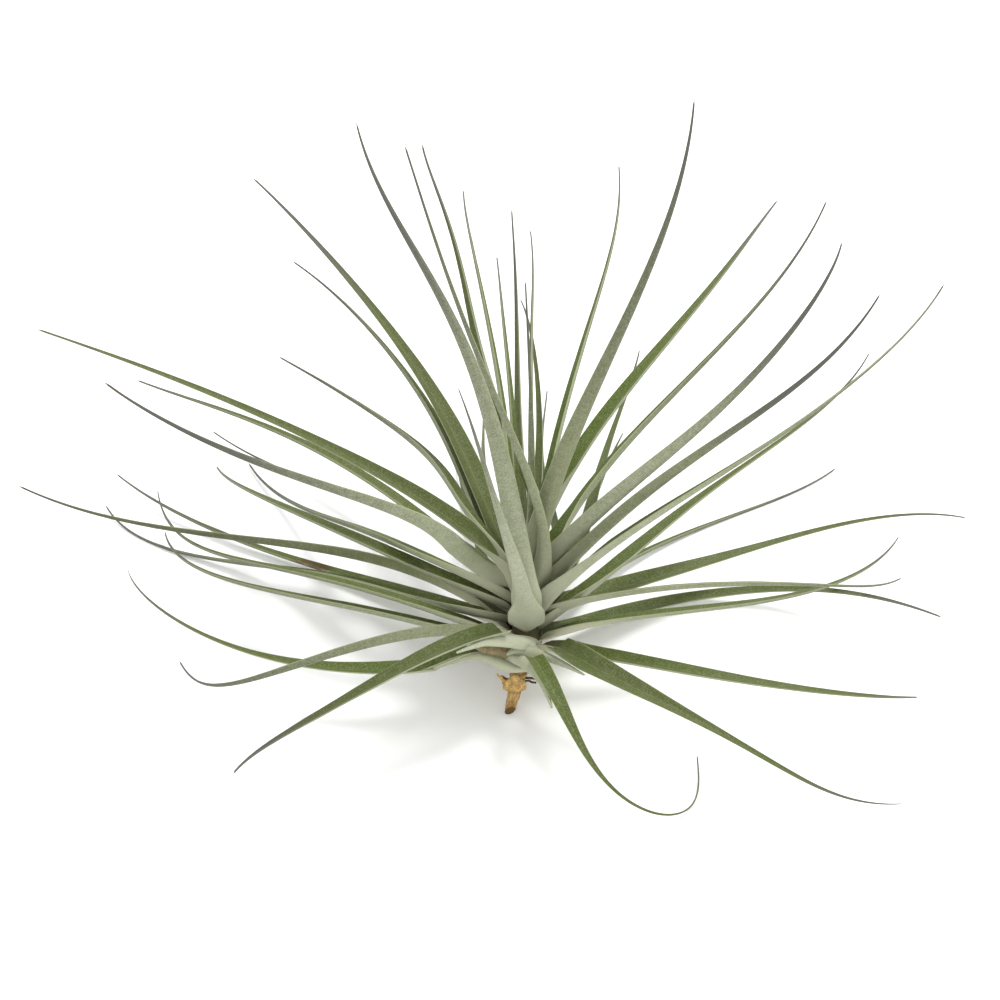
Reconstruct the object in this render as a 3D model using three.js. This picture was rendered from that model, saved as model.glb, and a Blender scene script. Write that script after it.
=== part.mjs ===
// An air plant: a loose rosette of long, tapering, channelled leaves on a short woody stem, with no pot.
// It lies at rest on a flat surface, leaning back on its lower leaves. Millimetres and degrees, +Z up.
// The origin is on the surface, under the middle of the plant.

import * as THREE from 'three';

// ---- driving dimensions ----

// where the crown's middle stands above the surface, and how far the stem leans back from upright
const CROWN = new THREE.Vector3(7.23, -45.91, 19.68);
const LEAN_BACK = 38;

// the stem, from the end of its dead stub to its top. Each row is a height along the stem's axis from the
// crown's middle, the sideways bend there and the radius
const STEM = [
  [-24.2, -4.4, 1.6],
  [-20, -3.8, 1.8],
  [-15, -2.7, 2.1],
  [-10, -1.4, 2.7],
  [-7, 0, 4.8],
  [2, 0, 3.8],
  [12, 0, 2.7],
  [20, 0, 1.8],
];
const STEM_SIDES = 12;
// how much the stub's cut end rises for each millimetre to the right and to the front
const STUB_CUT_SLOPE = [0.3, 0.8];

// the leaves start on the stem between these two heights, each one step above the last, just clear of it
const LEAVES_FROM = -7;
const LEAVES_TO = 19;
const SEAT_GAP = 0.35;

// a leaf's section is a shallow channel, open towards the stem, that thins to its edges
const LEAF_THICKNESS = { base: 1.1, tip: 0.45 };
const EDGE_SHARE = 0.4; // of the thickness
const CHANNEL_SHARE = 0.22; // the channel's depth, of the width
const ROLLED_BY = 0.22; // how far along a leaf it has all of its roll
const LEAF_SECTIONS = 12;
const CURLED_LEAF_SECTIONS = 24;
const STEPS = 48; // in the sum that carries a leaf's centre line along its course

// a leaf's width along it, as a share of its full width
const LEAF_OUTLINE = [
  [0, 0.4],
  [0.04, 0.6],
  [0.1, 1],
  [0.3, 0.93],
  [0.5, 0.62],
  [0.8, 0.26],
  [1, 0.05],
];

// The leaves, from the lowest on the stem to the highest. Each row has a leaf's length and full width and
// its course at the base, at one third, at two thirds and at the tip: first its turn round the stem, from
// the plant's right hand towards its back, and then its lean away from the stem's axis. The last number is
// the blade's roll about its own line, which turns its channel anticlockwise as seen from the stem.
const LEAVES = [
  [108, 6.5, [-92, -43, 14, 109], [51, 145, 115, 9], -10],
  [150, 6.5, [196, 174, 144, 102], [100, 86, 72, 76], 32],
  [124, 5.5, [81, 71, 70, 60], [82, 58, 52, 50], 0],
  [118, 8, [274, 202, 167, 127], [42, 109, 119, 127], 35],
  [118, 5.5, [81, 84, 82, 82], [70, 55, 58, 57], 0],
  [143, 5, [179, 165, 139, 103], [71, 80, 80, 66], 8],
  [128, 6, [-44, -18, 16, 50], [89, 98, 98, 94], -24],
  [104, 5, [106, 104, 103, 98], [73, 61, 55, 62], 0],
  [128, 5.5, [226, 203, 151, 120], [70, 98, 106, 56], -38],
  [145, 6.5, [59, 20, -20, -40], [89, 79, 89, 106], -26],
  [155, 4.5, [187, 158, 135, 106], [68, 78, 81, 46], 18],
  [145, 4.5, [-5, 15, 40, 67], [71, 85, 79, 70], -15],
  [135, 8, [-53, -38, 16, -2], [101, 109, 120, 85], -38],
  [165, 6, [118, 153, 158, 142], [79, 78, 72, 61], 8],
  [148, 4.5, [63, 48, 25, 39], [80, 70, 73, 62], 12],
  [172, 6.5, [152, 153, 189, 219], [56, 80, 81, 65], -30],
  [125, 6.5, [273, 259, 258, 255], [62, 56, 54, 56], 0],
  [150, 6.5, [-5, 35, 29, 46], [54, 58, 60, 40], -30],
  [122, 5.5, [96, 100, 103, 106], [64, 62, 60, 57], 0],
  [176, 6.5, [274, 245, 234, 255], [72, 27, 42, 38], 0],
  [152, 7.5, [32, 30, 10, -34], [69, 78, 76, 100], -30],
  [160, 5.5, [185, 140, 157, 128], [82, 82, 84, 47], 8],
  [170, 7, [-51, -29, 10, 57], [49, 58, 54, 54], -32],
  [138, 5, [84, 84, 94, 107], [40, 46, 38, 58], 40],
  [132, 5.5, [38, 75, 71, 77], [60, 52, 50, 47], 0],
  [140, 4, [-20, 2, 40, 59], [73, 86, 94, 82], 0],
  [162, 4.5, [294, 250, 238, 240], [38, 45, 36, 32], 65],
  [150, 6, [172, 149, 126, 103], [68, 71, 78, 79], 22],
  [155, 3.5, [115, 130, 146, 151], [55, 74, 75, 60], -20],
  [128, 4, [46, 95, 92, 84], [59, 61, 61, 47], 30],
  [160, 5.2, [-38, -45, -55, -69], [44, 58, 64, 50], 22],
  [145, 5, [206, 126, 124, 120], [57, 79, 81, 54], 20],
  [178, 7.5, [254, 224, 211, 173], [52, 63, 68, 71], 80],
  [150, 5, [168, 158, 153, 145], [49, 58, 71, 73], 20],
  [165, 7, [55, 38, -1, -64], [36, 48, 43, 37], 34],
  [125, 4, [102, 102, 91, 95], [51, 61, 67, 69], -40],
  [150, 5, [143, 117, 143, 145], [38, 45, 45, 61], -12],
  [165, 6.5, [-45, -45, -57, -93], [38, 57, 55, 67], 18],
  [162, 7, [211, 247, 187, 201], [70, 71, 70, 52], -30],
  [150, 4.5, [82, 94, 92, 112], [49, 44, 29, 11], 50],
  [175, 6, [-81, -69, -64, -90], [46, 46, 43, 37], 0],
  [135, 6, [189, 113, 144, 128], [24, 62, 62, 71], 25],
  [162, 5.5, [38, 125, 119, 242], [38, 38, 25, 23], 31],
  [170, 7.5, [127, 125, 157, 173], [41, 42, 41, 47], 10],
  [165, 7.5, [-40, 16, 51, 59], [12, 38, 53, 58], -66],
  [135, 3, [75, 90, 88, 97], [30, 26, 43, 42], 55],
  [155, 4.5, [22, 56, 71, 93], [7, 26, 43, 36], 0],
  [116, 3.5, [124, 109, 96, 95], [19, 7, 41, 52], -30],
  [142, 4, [191, 128, 104, 91], [6, 12, 40, 60], 25],
  [106, 2.8, [273, 271, 267, 266], [44, 42, 39, 36], 50],
];

// Papery scraps of old leaf bases that clasp the top of the stub: length, width, turn and lean at the base
// and at the free edge, and the height on the stub
const DRY_SHEATHS = [
  [5.2, 4.2, [272, 275], [14, 48], -16.8],
  [4.6, 3.8, [75, 78], [16, 50], -16.2],
  [4.8, 3.6, [176, 172], [14, 46], -16.5],
];
const SHEATH_THICKNESS = 0.5;

// Short wiry root ends: length, thickness, turn and lean, and the height on the stub
const ROOTS = [
  [4, 0.7, [338, 330, 325, 320], [84, 92, 98, 104], -12.6],
  [3, 0.6, [8, 4, 0, -5], [92, 98, 104, 108], -13.6],
];

const COLOURS = { leaf: 0x84926b, curledLeaf: 0x8d9a76, stem: 0x9a7444, drySheath: 0xc7a368, root: 0x4a3626 };

// ---- shared shapes ----

const radians = THREE.MathUtils.degToRad;

// the value at s, from 0 to 1, of the smooth curve through four evenly spaced values
function throughFour([a, b, c, d], s) {
  const u = 3 * s;
  return (
    (a * (1 - u) * (2 - u) * (3 - u)) / 6 +
    (b * u * (2 - u) * (3 - u)) / 2 +
    (c * u * (u - 1) * (3 - u)) / 2 +
    (d * u * (u - 1) * (u - 2)) / 6
  );
}

// the value at s on a line of straight stretches through [s, value] points
function onOutline(points, s) {
  const next = points.findIndex(([at]) => at >= s);
  if (next <= 0) return points[0][1];
  const [s0, v0] = points[next - 1];
  const [s1, v1] = points[next];
  return THREE.MathUtils.mapLinear(s, s0, s1, v0, v1);
}

// A closed solid through rings of points, each ring anticlockwise as seen from the far end. The ends are
// closed in strips across the ring, from its first and last points to its middle ones, so that an end may
// be hollow on one side.
function loft(rings) {
  const count = rings[0].length;
  const corners = [];
  const triangle = (a, b, c) => corners.push(a, b, c);
  for (let i = 0; i + 1 < rings.length; i++) {
    for (let k = 0; k < count; k++) {
      const [a, b] = [rings[i][k], rings[i][(k + 1) % count]];
      const [c, d] = [rings[i + 1][k], rings[i + 1][(k + 1) % count]];
      triangle(a, b, d);
      triangle(a, d, c);
    }
  }
  const [first, last] = [rings[0], rings.at(-1)];
  for (let k = 0; k + 1 < count / 2; k++) {
    const strip = [k, k + 1, count - 2 - k, count - 1 - k];
    const [a, b, c, d] = strip.map((i) => last[i]);
    triangle(a, b, c);
    triangle(a, c, d);
    const [e, f, g, h] = strip.map((i) => first[i]);
    triangle(e, g, f);
    triangle(e, h, g);
  }
  const geometry = new THREE.BufferGeometry().setFromPoints(corners);
  geometry.computeVertexNormals();
  return geometry;
}

// The frames along a course that starts at a height on the stem: at each of the STEPS, the centre, the way
// across the leaf and the way up from it, towards the stem's axis. The leaf doesn't twist about its own
// line, so each frame is the last one turned no more than the course turns. A leaf's roll comes later.
function courseFrames(length, turns, leans, height, startRadius) {
  const turn = radians(turns[0]);
  const centre = new THREE.Vector3(startRadius * Math.cos(turn), startRadius * Math.sin(turn), height);
  const across = new THREE.Vector3(-Math.sin(turn), Math.cos(turn), 0);
  const heading = (s) => {
    const lean = radians(throughFour(leans, s));
    const bearing = radians(throughFour(turns, s));
    return new THREE.Vector3(
      Math.sin(lean) * Math.cos(bearing),
      Math.sin(lean) * Math.sin(bearing),
      Math.cos(lean),
    );
  };
  const frames = [];
  for (let step = 0; step <= STEPS; step++) {
    const s = step / STEPS;
    const along = heading(s);
    across.addScaledVector(along, -across.dot(along)).normalize();
    frames.push({ s, centre: centre.clone(), across: across.clone(), up: along.clone().cross(across) });
    centre.addScaledVector(heading(s + 0.5 / STEPS), length / STEPS);
  }
  return frames;
}

// ---- pieces ----

function leafGeometry([length, width, turns, leans, fullRoll], height, sections) {
  const halfBase = LEAF_THICKNESS.base / 2;
  const startRadius = stemAt(height).radius + SEAT_GAP + halfBase * Math.cos(radians(leans[0]));
  const frames = courseFrames(length, turns, leans, height, startRadius);
  const rings = frames
    .filter((_, step) => step % (STEPS / sections) === 0)
    .map(({ s, centre, across, up }) => {
      const halfWidth = (width / 2) * onOutline(LEAF_OUTLINE, s);
      const halfThickness = THREE.MathUtils.lerp(LEAF_THICKNESS.base, LEAF_THICKNESS.tip, s) / 2;
      const channel = 2 * halfWidth * CHANNEL_SHARE;
      const edge = halfThickness * EDGE_SHARE;
      const roll = radians(fullRoll) * Math.min(1, s / ROLLED_BY);
      const [cosine, sine] = [Math.cos(roll), Math.sin(roll)];
      return [
        [halfWidth, channel + edge],
        [0, halfThickness],
        [-halfWidth, channel + edge],
        [-halfWidth, channel - edge],
        [0, -halfThickness],
        [halfWidth, channel - edge],
      ].map(([x, y]) =>
        centre
          .clone()
          .addScaledVector(across, x * cosine + y * sine)
          .addScaledVector(up, y * cosine - x * sine),
      );
    });
  return loft(rings);
}

// the bent woody stem with its slanting cut at the bottom of the stub
function stemGeometry() {
  const rings = STEM.map(([height, sideways, radius], row) => {
    const [slopeX, slopeY] = row === 0 ? STUB_CUT_SLOPE : [0, 0];
    return Array.from({ length: STEM_SIDES }, (_, k) => {
      const angle = (2 * Math.PI * k) / STEM_SIDES;
      const [x, y] = [radius * Math.cos(angle), radius * Math.sin(angle)];
      return new THREE.Vector3(sideways + x, y, height + slopeX * (x + radius) + slopeY * (radius - y));
    });
  });
  return loft(rings);
}

// where the stem's centre and surface are at a height
function stemAt(height) {
  const centres = STEM.map(([at, sideways]) => [at, sideways]);
  const radii = STEM.map(([at, , radius]) => [at, radius]);
  return { sideways: onOutline(centres, height), radius: onOutline(radii, height) };
}

// a thin curved scrap that clasps the stub and flares from it
function drySheathGeometry([length, width, turns, leans, height]) {
  const { sideways, radius } = stemAt(height);
  const spread = [turns[0], ...[1 / 3, 2 / 3].map((s) => THREE.MathUtils.lerp(...turns, s)), turns[1]];
  const flare = [leans[0], ...[1 / 3, 2 / 3].map((s) => THREE.MathUtils.lerp(...leans, s)), leans[1]];
  const start = radius + SHEATH_THICKNESS / 2 + SEAT_GAP;
  const frames = courseFrames(length, spread, flare, height, start);
  const rings = frames
    .filter((_, step) => step % (STEPS / 4) === 0)
    .map(({ centre, across, up }) => {
      const clasp = (x) => (x * x) / (2 * start);
      const outer = [1, 0.5, 0, -0.5, -1].map((u) => [(u * width) / 2, SHEATH_THICKNESS / 2]);
      const inner = outer.map(([x, y]) => [x, -y]).reverse();
      return [...outer, ...inner].map(([x, y]) =>
        centre
          .clone()
          .addScaledVector(across, x)
          .addScaledVector(up, y + clasp(x))
          .add(new THREE.Vector3(sideways, 0, 0)),
      );
    });
  return loft(rings);
}

// a short bent wire that starts just clear of the stub
function rootGeometry([length, thickness, turns, leans, height]) {
  const { sideways, radius } = stemAt(height);
  const frames = courseFrames(length, turns, leans, height, radius + SEAT_GAP);
  const rings = frames
    .filter((_, step) => step % (STEPS / 6) === 0)
    .map(({ s, centre, across, up }) => {
      const reach = (thickness / 2) * (1 - 0.6 * s);
      return Array.from({ length: 6 }, (_, k) => {
        const angle = (Math.PI * k) / 3;
        return centre
          .clone()
          .addScaledVector(across, reach * Math.cos(angle))
          .addScaledVector(up, reach * Math.sin(angle))
          .add(new THREE.Vector3(sideways, 0, 0));
      });
    });
  return loft(rings);
}

// ---- the plant ----

const plant = new THREE.Group();
plant.rotation.x = -radians(LEAN_BACK);
plant.position.copy(CROWN);

function addPiece(name, geometry, color, roughness) {
  const mesh = new THREE.Mesh(geometry, new THREE.MeshStandardMaterial({ color, roughness, metalness: 0 }));
  mesh.name = name;
  plant.add(mesh);
}

addPiece('stem', stemGeometry(), COLOURS.stem, 0.9);

LEAVES.forEach((row, index) => {
  const share = index / (LEAVES.length - 1);
  const height = THREE.MathUtils.lerp(LEAVES_FROM, LEAVES_TO, share);
  const curled = index === 0;
  const sections = curled ? CURLED_LEAF_SECTIONS : LEAF_SECTIONS;
  const name = curled ? 'leaf_curled' : `leaf_${String(index + 1).padStart(2, '0')}`;
  const colour = curled ? COLOURS.curledLeaf : COLOURS.leaf;
  addPiece(name, leafGeometry(row, height, sections), colour, 0.75);
});

DRY_SHEATHS.forEach((row, index) => {
  addPiece(`dry_sheath_${index + 1}`, drySheathGeometry(row), COLOURS.drySheath, 0.85);
});

ROOTS.forEach((row, index) => {
  addPiece(`root_${index + 1}`, rootGeometry(row), COLOURS.root, 0.9);
});

export default plant;
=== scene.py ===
"""An air plant with no pot: a loose rosette of long channelled leaves on a short stem with a dead stub.

It lies on a pale floor, leaning back on its lower leaves. The driving rows are in millimetres and degrees, in
the plant's own frame: its Z axis runs up the stem from the crown's middle, and turns go round it from +X.
"""

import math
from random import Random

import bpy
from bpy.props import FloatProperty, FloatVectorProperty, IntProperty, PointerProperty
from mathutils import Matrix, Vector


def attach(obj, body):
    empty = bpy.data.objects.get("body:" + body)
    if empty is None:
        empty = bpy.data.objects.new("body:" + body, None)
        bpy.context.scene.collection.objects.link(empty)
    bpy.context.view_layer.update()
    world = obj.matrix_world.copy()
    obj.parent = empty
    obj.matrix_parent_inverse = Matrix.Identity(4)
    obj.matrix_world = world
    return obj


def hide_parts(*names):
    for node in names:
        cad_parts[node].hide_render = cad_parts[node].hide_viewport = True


bl_info = {
    "name": "Air plant",
    "version": (1, 0, 0),
    "blender": (4, 5, 0),
    "location": "View3D > Sidebar > Air plant",
    "description": "Leaves, stem, dry sheaths and roots of an air plant, around its packed model",
    "category": "Add Mesh",
}

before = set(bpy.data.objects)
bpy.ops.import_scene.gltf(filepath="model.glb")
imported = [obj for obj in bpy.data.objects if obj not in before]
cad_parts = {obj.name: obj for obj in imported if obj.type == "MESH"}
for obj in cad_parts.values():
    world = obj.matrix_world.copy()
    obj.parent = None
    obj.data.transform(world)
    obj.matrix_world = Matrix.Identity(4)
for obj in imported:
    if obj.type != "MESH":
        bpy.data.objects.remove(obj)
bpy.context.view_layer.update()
BODY = "root"
MM = 0.001

# ---- the plant's driving dimensions, in millimetres and degrees ----

CROWN = Vector((7.23, -45.91, 19.68))
LEAN_BACK = 38  # how far the stem leans back from upright

# the stem from the end of its stub to its top: height along the axis, sideways bend, radius
STEM = [
    (-24.2, -4.4, 1.6), (-20, -3.8, 1.8), (-15, -2.7, 2.1), (-10, -1.4, 2.7),
    (-7, 0, 4.8), (2, 0, 3.8), (12, 0, 2.7), (20, 0, 1.8),
]
STUB_CUT_SLOPE = (0.3, 0.8)  # how much the cut end rises for each millimetre to the right and the front
STUB_CUT_REACH = 5.5  # how far up the stub the cut's slant fades out
STUB_CUT_RINGS = (0, 0.3, 0.6, 0.85, 0.95)  # the cut face's rings, as shares of its radius
STUB_STEP, HIDDEN_STEP = 0.25, 1.5  # between the stem's sections on the bare stub, and above it
STUB_EDGE = 0.05  # from the cut face to its first section of bark
LEAVES_FROM, LEAVES_TO = -7, 19  # heights on the stem
SEAT_GAP = 0.35  # between the stem and what starts on it
LEAF_BASE_THICKNESS = 1.1  # of the frame's leaves, which says how far off the stem's middle they start

# a leaf's length and full width, its turn round the stem and its lean from the axis, at the base, at one
# third, at two thirds and at the tip, and the blade's roll about its own line. Then, from 0 to 1, how green
# its upper side is and how silver its underside. From the lowest leaf on the stem to the highest. The
# curled one and the one that is 1.0 silver have narrower blades than their frame nodes, which are 6.5 wide.
LEAVES = [
    (108, 5.6, (-92, -43, 14, 109), (51, 145, 115, 9), -10, 0.6, 0.7),
    (150, 6.5, (196, 174, 144, 102), (100, 86, 72, 76), 32, 0.8, 0.65),
    (124, 5.5, (81, 71, 70, 60), (82, 58, 52, 50), 0, 0.5, 0.5),
    (118, 8, (274, 202, 167, 127), (42, 109, 119, 127), 35, 0.35, 0.75),
    (118, 5.5, (81, 84, 82, 82), (70, 55, 58, 57), 0, 0.5, 0.5),
    (143, 5, (179, 165, 139, 103), (71, 80, 80, 66), 8, 0.5, 0.5),
    (128, 6, (-44, -18, 16, 50), (89, 98, 98, 94), -24, 0.6, 0.5),
    (104, 5, (106, 104, 103, 98), (73, 61, 55, 62), 0, 0.5, 0.5),
    (128, 5.5, (226, 203, 151, 120), (70, 98, 106, 56), -38, 0.4, 0.4),
    (145, 6.5, (59, 20, -20, -40), (89, 79, 89, 106), -26, 0.45, 0.7),
    (155, 4.5, (187, 158, 135, 106), (68, 78, 81, 46), 18, 0.55, 0.5),
    (145, 4.5, (-5, 15, 40, 67), (71, 85, 79, 70), -15, 0.4, 0.5),
    (135, 8, (-53, -38, 16, -2), (101, 109, 120, 85), -38, 0.3, 0.7),
    (165, 6, (118, 153, 158, 142), (79, 78, 72, 61), 8, 0.6, 0.5),
    (148, 4.5, (63, 48, 25, 39), (80, 70, 73, 62), 12, 0.5, 0.5),
    (172, 6.5, (152, 153, 189, 219), (56, 80, 81, 65), -30, 0.5, 0.05),
    (125, 5, (273, 259, 258, 255), (62, 56, 54, 56), 0, 0.2, 1.0),
    (150, 6.5, (-5, 35, 29, 46), (54, 58, 60, 40), -30, 0.5, 0.6),
    (122, 5.5, (96, 100, 103, 106), (64, 62, 60, 57), 0, 0.5, 0.5),
    (176, 6.5, (274, 245, 234, 255), (72, 27, 42, 38), 0, 0.1, 0.7),
    (152, 7.5, (32, 30, 10, -34), (69, 78, 76, 100), -30, 0.45, 0.7),
    (160, 5.5, (185, 140, 157, 128), (82, 82, 84, 47), 8, 0.6, 0.5),
    (170, 7, (-51, -29, 10, 57), (49, 58, 54, 54), -32, 0.5, 0.75),
    (138, 5, (84, 84, 94, 107), (40, 46, 38, 58), 40, 0.3, 0.4),
    (132, 5.5, (38, 75, 71, 77), (60, 52, 50, 47), 0, 0.3, 0.5),
    (140, 4, (-18, 2, 40, 59), (73, 86, 94, 82), 0, 0.4, 0.5),
    (162, 4.5, (294, 250, 238, 240), (38, 45, 36, 32), 65, 0.5, 0.5),
    (150, 6, (172, 149, 126, 103), (68, 71, 78, 79), 22, 0.6, 0.5),
    (155, 3.5, (115, 130, 146, 151), (55, 74, 75, 60), -20, 0.5, 0.5),
    (128, 4, (46, 95, 92, 84), (59, 61, 61, 47), 30, 0.4, 0.5),
    (160, 5.2, (-38, -45, -55, -69), (44, 58, 64, 50), 22, 0.2, 0.35),
    (145, 5, (206, 126, 124, 120), (57, 79, 81, 54), 20, 0.7, 0.5),
    (178, 7.5, (254, 224, 211, 173), (52, 63, 68, 71), 80, 0.2, 0.5),
    (150, 5, (168, 158, 153, 145), (49, 58, 71, 73), 20, 0.4, 0.5),
    (165, 7, (55, 38, -1, -64), (36, 48, 43, 37), 34, 0.9, 0.35),
    (125, 4, (102, 102, 91, 95), (51, 61, 67, 69), -40, 0.5, 0.5),
    (150, 5, (143, 117, 143, 145), (38, 45, 45, 61), -12, 0.4, 0.5),
    (165, 6.5, (-45, -45, -57, -93), (38, 57, 55, 67), 18, 0.2, 0.75),
    (162, 7, (211, 247, 187, 201), (70, 71, 70, 52), -30, 0.2, 0.6),
    (150, 4.5, (82, 94, 92, 112), (49, 44, 29, 11), 50, 0.3, 0.4),
    (175, 6, (-81, -69, -64, -90), (46, 46, 43, 37), 0, 0.3, 0.3),
    (135, 6, (189, 113, 144, 128), (24, 62, 62, 71), 25, 0.3, 0.5),
    (162, 5.5, (38, 125, 119, 242), (38, 38, 25, 23), 31, 0.8, 0.5),
    (170, 7.5, (127, 125, 157, 173), (41, 42, 41, 47), 10, 0.15, 0.5),
    (165, 7.5, (-40, 16, 51, 59), (12, 38, 53, 58), -66, 1.0, 0.6),
    (135, 3, (75, 90, 88, 97), (30, 26, 43, 42), 55, 0.4, 0.5),
    (155, 4.5, (22, 56, 71, 93), (7, 26, 43, 36), 0, 0.9, 0.5),
    (116, 3.5, (124, 109, 96, 95), (19, 7, 41, 52), -30, 0.6, 0.5),
    (142, 4, (191, 128, 104, 91), (6, 12, 40, 60), 25, 0.8, 0.5),
    (106, 2.8, (273, 271, 267, 266), (44, 42, 39, 36), 50, 0.8, 0.5),
]
CURLED_LEAF = 0  # the row that is named for its shape
ROLLED_BY = 0.22  # how far along a leaf it has all of its roll

# papery scraps that clasp the stub: length, width, turn and lean at the base and the free edge, height
DRY_SHEATHS = [
    (5.2, 4.2, (272, 275), (14, 48), -16.8),
    (4.6, 3.8, (75, 78), (16, 50), -16.2),
    (4.8, 3.6, (176, 172), (14, 46), -16.5),
]
DRY_SHEATH_THICKNESS = 0.5  # of the frame's dry sheaths
SCRAP_STATIONS = 40
SCRAP_RING_POINTS = 40
SCRAP_CHANNEL = 0.36  # depth of a dry sheath's hollow over its width

# wiry root ends: length, thickness, turn and lean, height
ROOTS = [
    (4, 0.7, (338, 330, 325, 320), (84, 92, 98, 104), -12.6),
    (3, 0.6, (8, 4, 0, -5), (92, 98, 104, 108), -13.6),
]
ROOT_STATIONS = 24
ROOT_LEAD_IN = 1  # how far a root grows out from inside the stub

# loose bits of dry sheath on the stub, that show where they break its surface: their lowest and highest
# place, width, and seed
LOOSE_BITS = {"stub_flakes": (-15.5, -11, 1.6, 3), "stub_fibres": (-17.5, -11, 0.14, 5)}
BIT_LENGTH, BIT_THICKNESS, BIT_WANDER = 2.6, 0.09, 0.8
BIT_LIFT = 1.3  # radians

# ---- how the leaves look, by row ----

# full width of the sheath at a leaf's base, where it isn't the usual share of the blade's
SHEATH_WIDTHS = {0: 5.6, 1: 6.5, 3: 8, 12: 8, 16: 11, 19: 9, 37: 9, 38: 9.5}

# the outer leaves' sheaths, that clasp the stem from the front: whether leaf or dry paper, how silver, and
# the places that each runs through: sideways, depth, height, its width and how far its outside is
# turned up, in the plant's own frame
CLASPS = {
    "arched_sheath": ("leaf", 1.0, [
        (6.2, -2.5, -5.5, 1.6, 10), (4.6, -5, -3.5, 3.2, 15), (2.2, -9, -1.5, 4.6, 22),
        (-0.7, -14, 0, 5.4, 28), (-4.2, -20, 1.1, 5.4, 30), (-7.7, -26.5, 1.7, 4.6, 30),
        (-9.9, -29.5, 1.4, 3.2, 25), (-11.9, -31.5, 1.1, 2.3, 20), (-15.8, -34, -0.1, 1.4, 20),
        (-19.7, -36, -1.5, 0.6, 20),
    ]),
    "third_sheath": ("leaf", 0.8, [
        (-6.2, -9, -5.3, 1, 15), (-4.2, -10.5, -4, 2, 15), (-1.9, -11.5, -3.4, 2.8, 20),
        (0.7, -12.5, -3.2, 3.1, 25), (3.3, -14.5, -3.5, 3.1, 25), (6.1, -18, -4.3, 2.8, 25),
        (8.9, -21.5, -5.2, 2.2, 25), (12.5, -26.5, -6.5, 1.4, 25), (16.5, -32, -8.2, 0.5, 25),
    ]),
    "curled_sheath": ("leaf", 0.7, [
        (-6.2, -8, -6.5, 1.4, 10), (-4.2, -10.5, -5.5, 2.8, 20), (-1.6, -13.5, -5.5, 3.8, 30),
        (0.7, -17, -6, 4.6, 35), (2.6, -21, -7, 4.8, 35), (4.1, -25, -8.6, 4, 30),
        (5, -28.5, -10.9, 2.6, 25), (5.9, -31, -13.6, 1.6, 20), (7.2, -33.5, -17.4, 0.5, 15),
    ]),
    "second_sheath": ("leaf", 0.7, [
        (2.3, -5, -10, 0.7, 0), (-0.4, -7, -9.4, 1.8, 5), (-3.3, -9, -8.8, 2.8, 10),
        (-5.9, -10.5, -7.7, 3.3, 15), (-8.5, -11.5, -6.4, 3.3, 20), (-11.2, -11.5, -5.4, 2.8, 20),
        (-13.8, -11, -5.1, 2.4, 15), (-17.3, -10.5, -5.5, 2.1, 10), (-21.4, -10, -6.6, 1.8, 10),
        (-26, -9.5, -8.3, 1.3, 10), (-30.7, -9, -9.7, 0.5, 10),
    ]),
    "old_sheath": ("paper", 0.0, [
        (-14.9, -12, -2, 1, 0), (-11.7, -12, -2.8, 3.4, 0), (-8.5, -11.5, -3.3, 5, 0),
        (-5.3, -10, -3.8, 6, 5), (-2.4, -8, -4.2, 7, 5), (0.8, -6.5, -4.5, 7.5, 5),
        (3.7, -5.5, -4.8, 7, 5),
    ]),
}
CLASP_STATIONS = 72
CLASP_SHOWN = (0.05, 0.2)  # the stretch of a leaf whose colours such a sheath has
CLASP_GREEN = 0.2
CLASP_SEED, SCRAP_SEED = 200.0, 100.0  # the first of the seeds that the leaves don't use

# where along an outer leaf its blade comes out from behind its sheath
BLADE_STARTS = {0: 0.15, 3: 0.19, 12: 0.09}
BLADE_END = 1.2  # millimetres that such a blade's end reaches back
# a leaf whose first stretch is bent: how much of it, the places it passes, and its outside's turn up
BENT_STARTS = {
    1: (0.167, [
        (-9.7, -9, -3.5), (-13.2, -8.5, -4.2), (-16.7, -8, -4.9), (-20.5, -7.5, -6.3), (-24.6, -7, -8),
    ]),
}
BENT_TURN = -110  # how far the outside is turned up at the start of a bent stretch
BIT_OF_LINE = 0.02  # over which the heading of a line through points is taken
# how much narrower the outer half of a leaf is than the usual outline, or wider where it is below 0
TAPERS = {
    0: 0.66, 1: 0.55, 12: 0.55, 16: 0.3, 17: 0.35, 19: 0.12, 20: 0.35, 22: 0.5, 31: -0.3,
    32: 0.3, 33: -0.3, 36: -0.5, 37: 0.2, 39: -0.25, 41: -0.4, 42: -0.6,
}
# where along a leaf its grey tip starts, on the leaves that are grey for longer
GREY_FROM = {19: 0.55, 30: 0.45, 32: 0.85, 37: 0.52, 38: 0.55}
# where along a leaf a dry brown patch sits
SCARS = {13: 0.5}

# a blade's width from base to tip, as a share of its full width
BLADE_OUTLINE = [
    (0, 0.85), (0.1, 1), (0.3, 0.9), (0.45, 0.71), (0.6, 0.5), (0.75, 0.33), (0.88, 0.19), (1, 0.07),
]
# how much of the sheath's own width and hollow a leaf has along it
SHEATH_OUTLINE = [(0, 0.6), (0.03, 0.95), (0.07, 1), (0.11, 0.62), (0.16, 0.15), (0.21, 0), (1, 0)]
BASE_ROUNDING = 0.015  # of a leaf's length
BASE_ROUNDINGS = {1: 0.1, 16: 0.03}  # on the leaves whose base is rounder
SHEATH_HOLLOWS = {16: 0.1}  # depth over width, on a leaf whose sheath is flatter than usual
TIP_ROUNDING = 0.008  # of a leaf's length
TAPER_SPAN = (0.15, 0.62)  # the stretch over which a leaf's own taper sets in
WAVES_ALONG = 16  # along a leaf's edges
FOLD_POWER = 1.5  # 1 would fold a blade to a sharp V and 2 bends it to a round trough
SAME_PLACE = 1e-6  # metres between points that are one point
SCRAP_REACH = 1.25  # a dry sheath's length along its creases, over its plain length
CREASES = 850  # how many creases of a dry scrap fit in a metre
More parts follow.
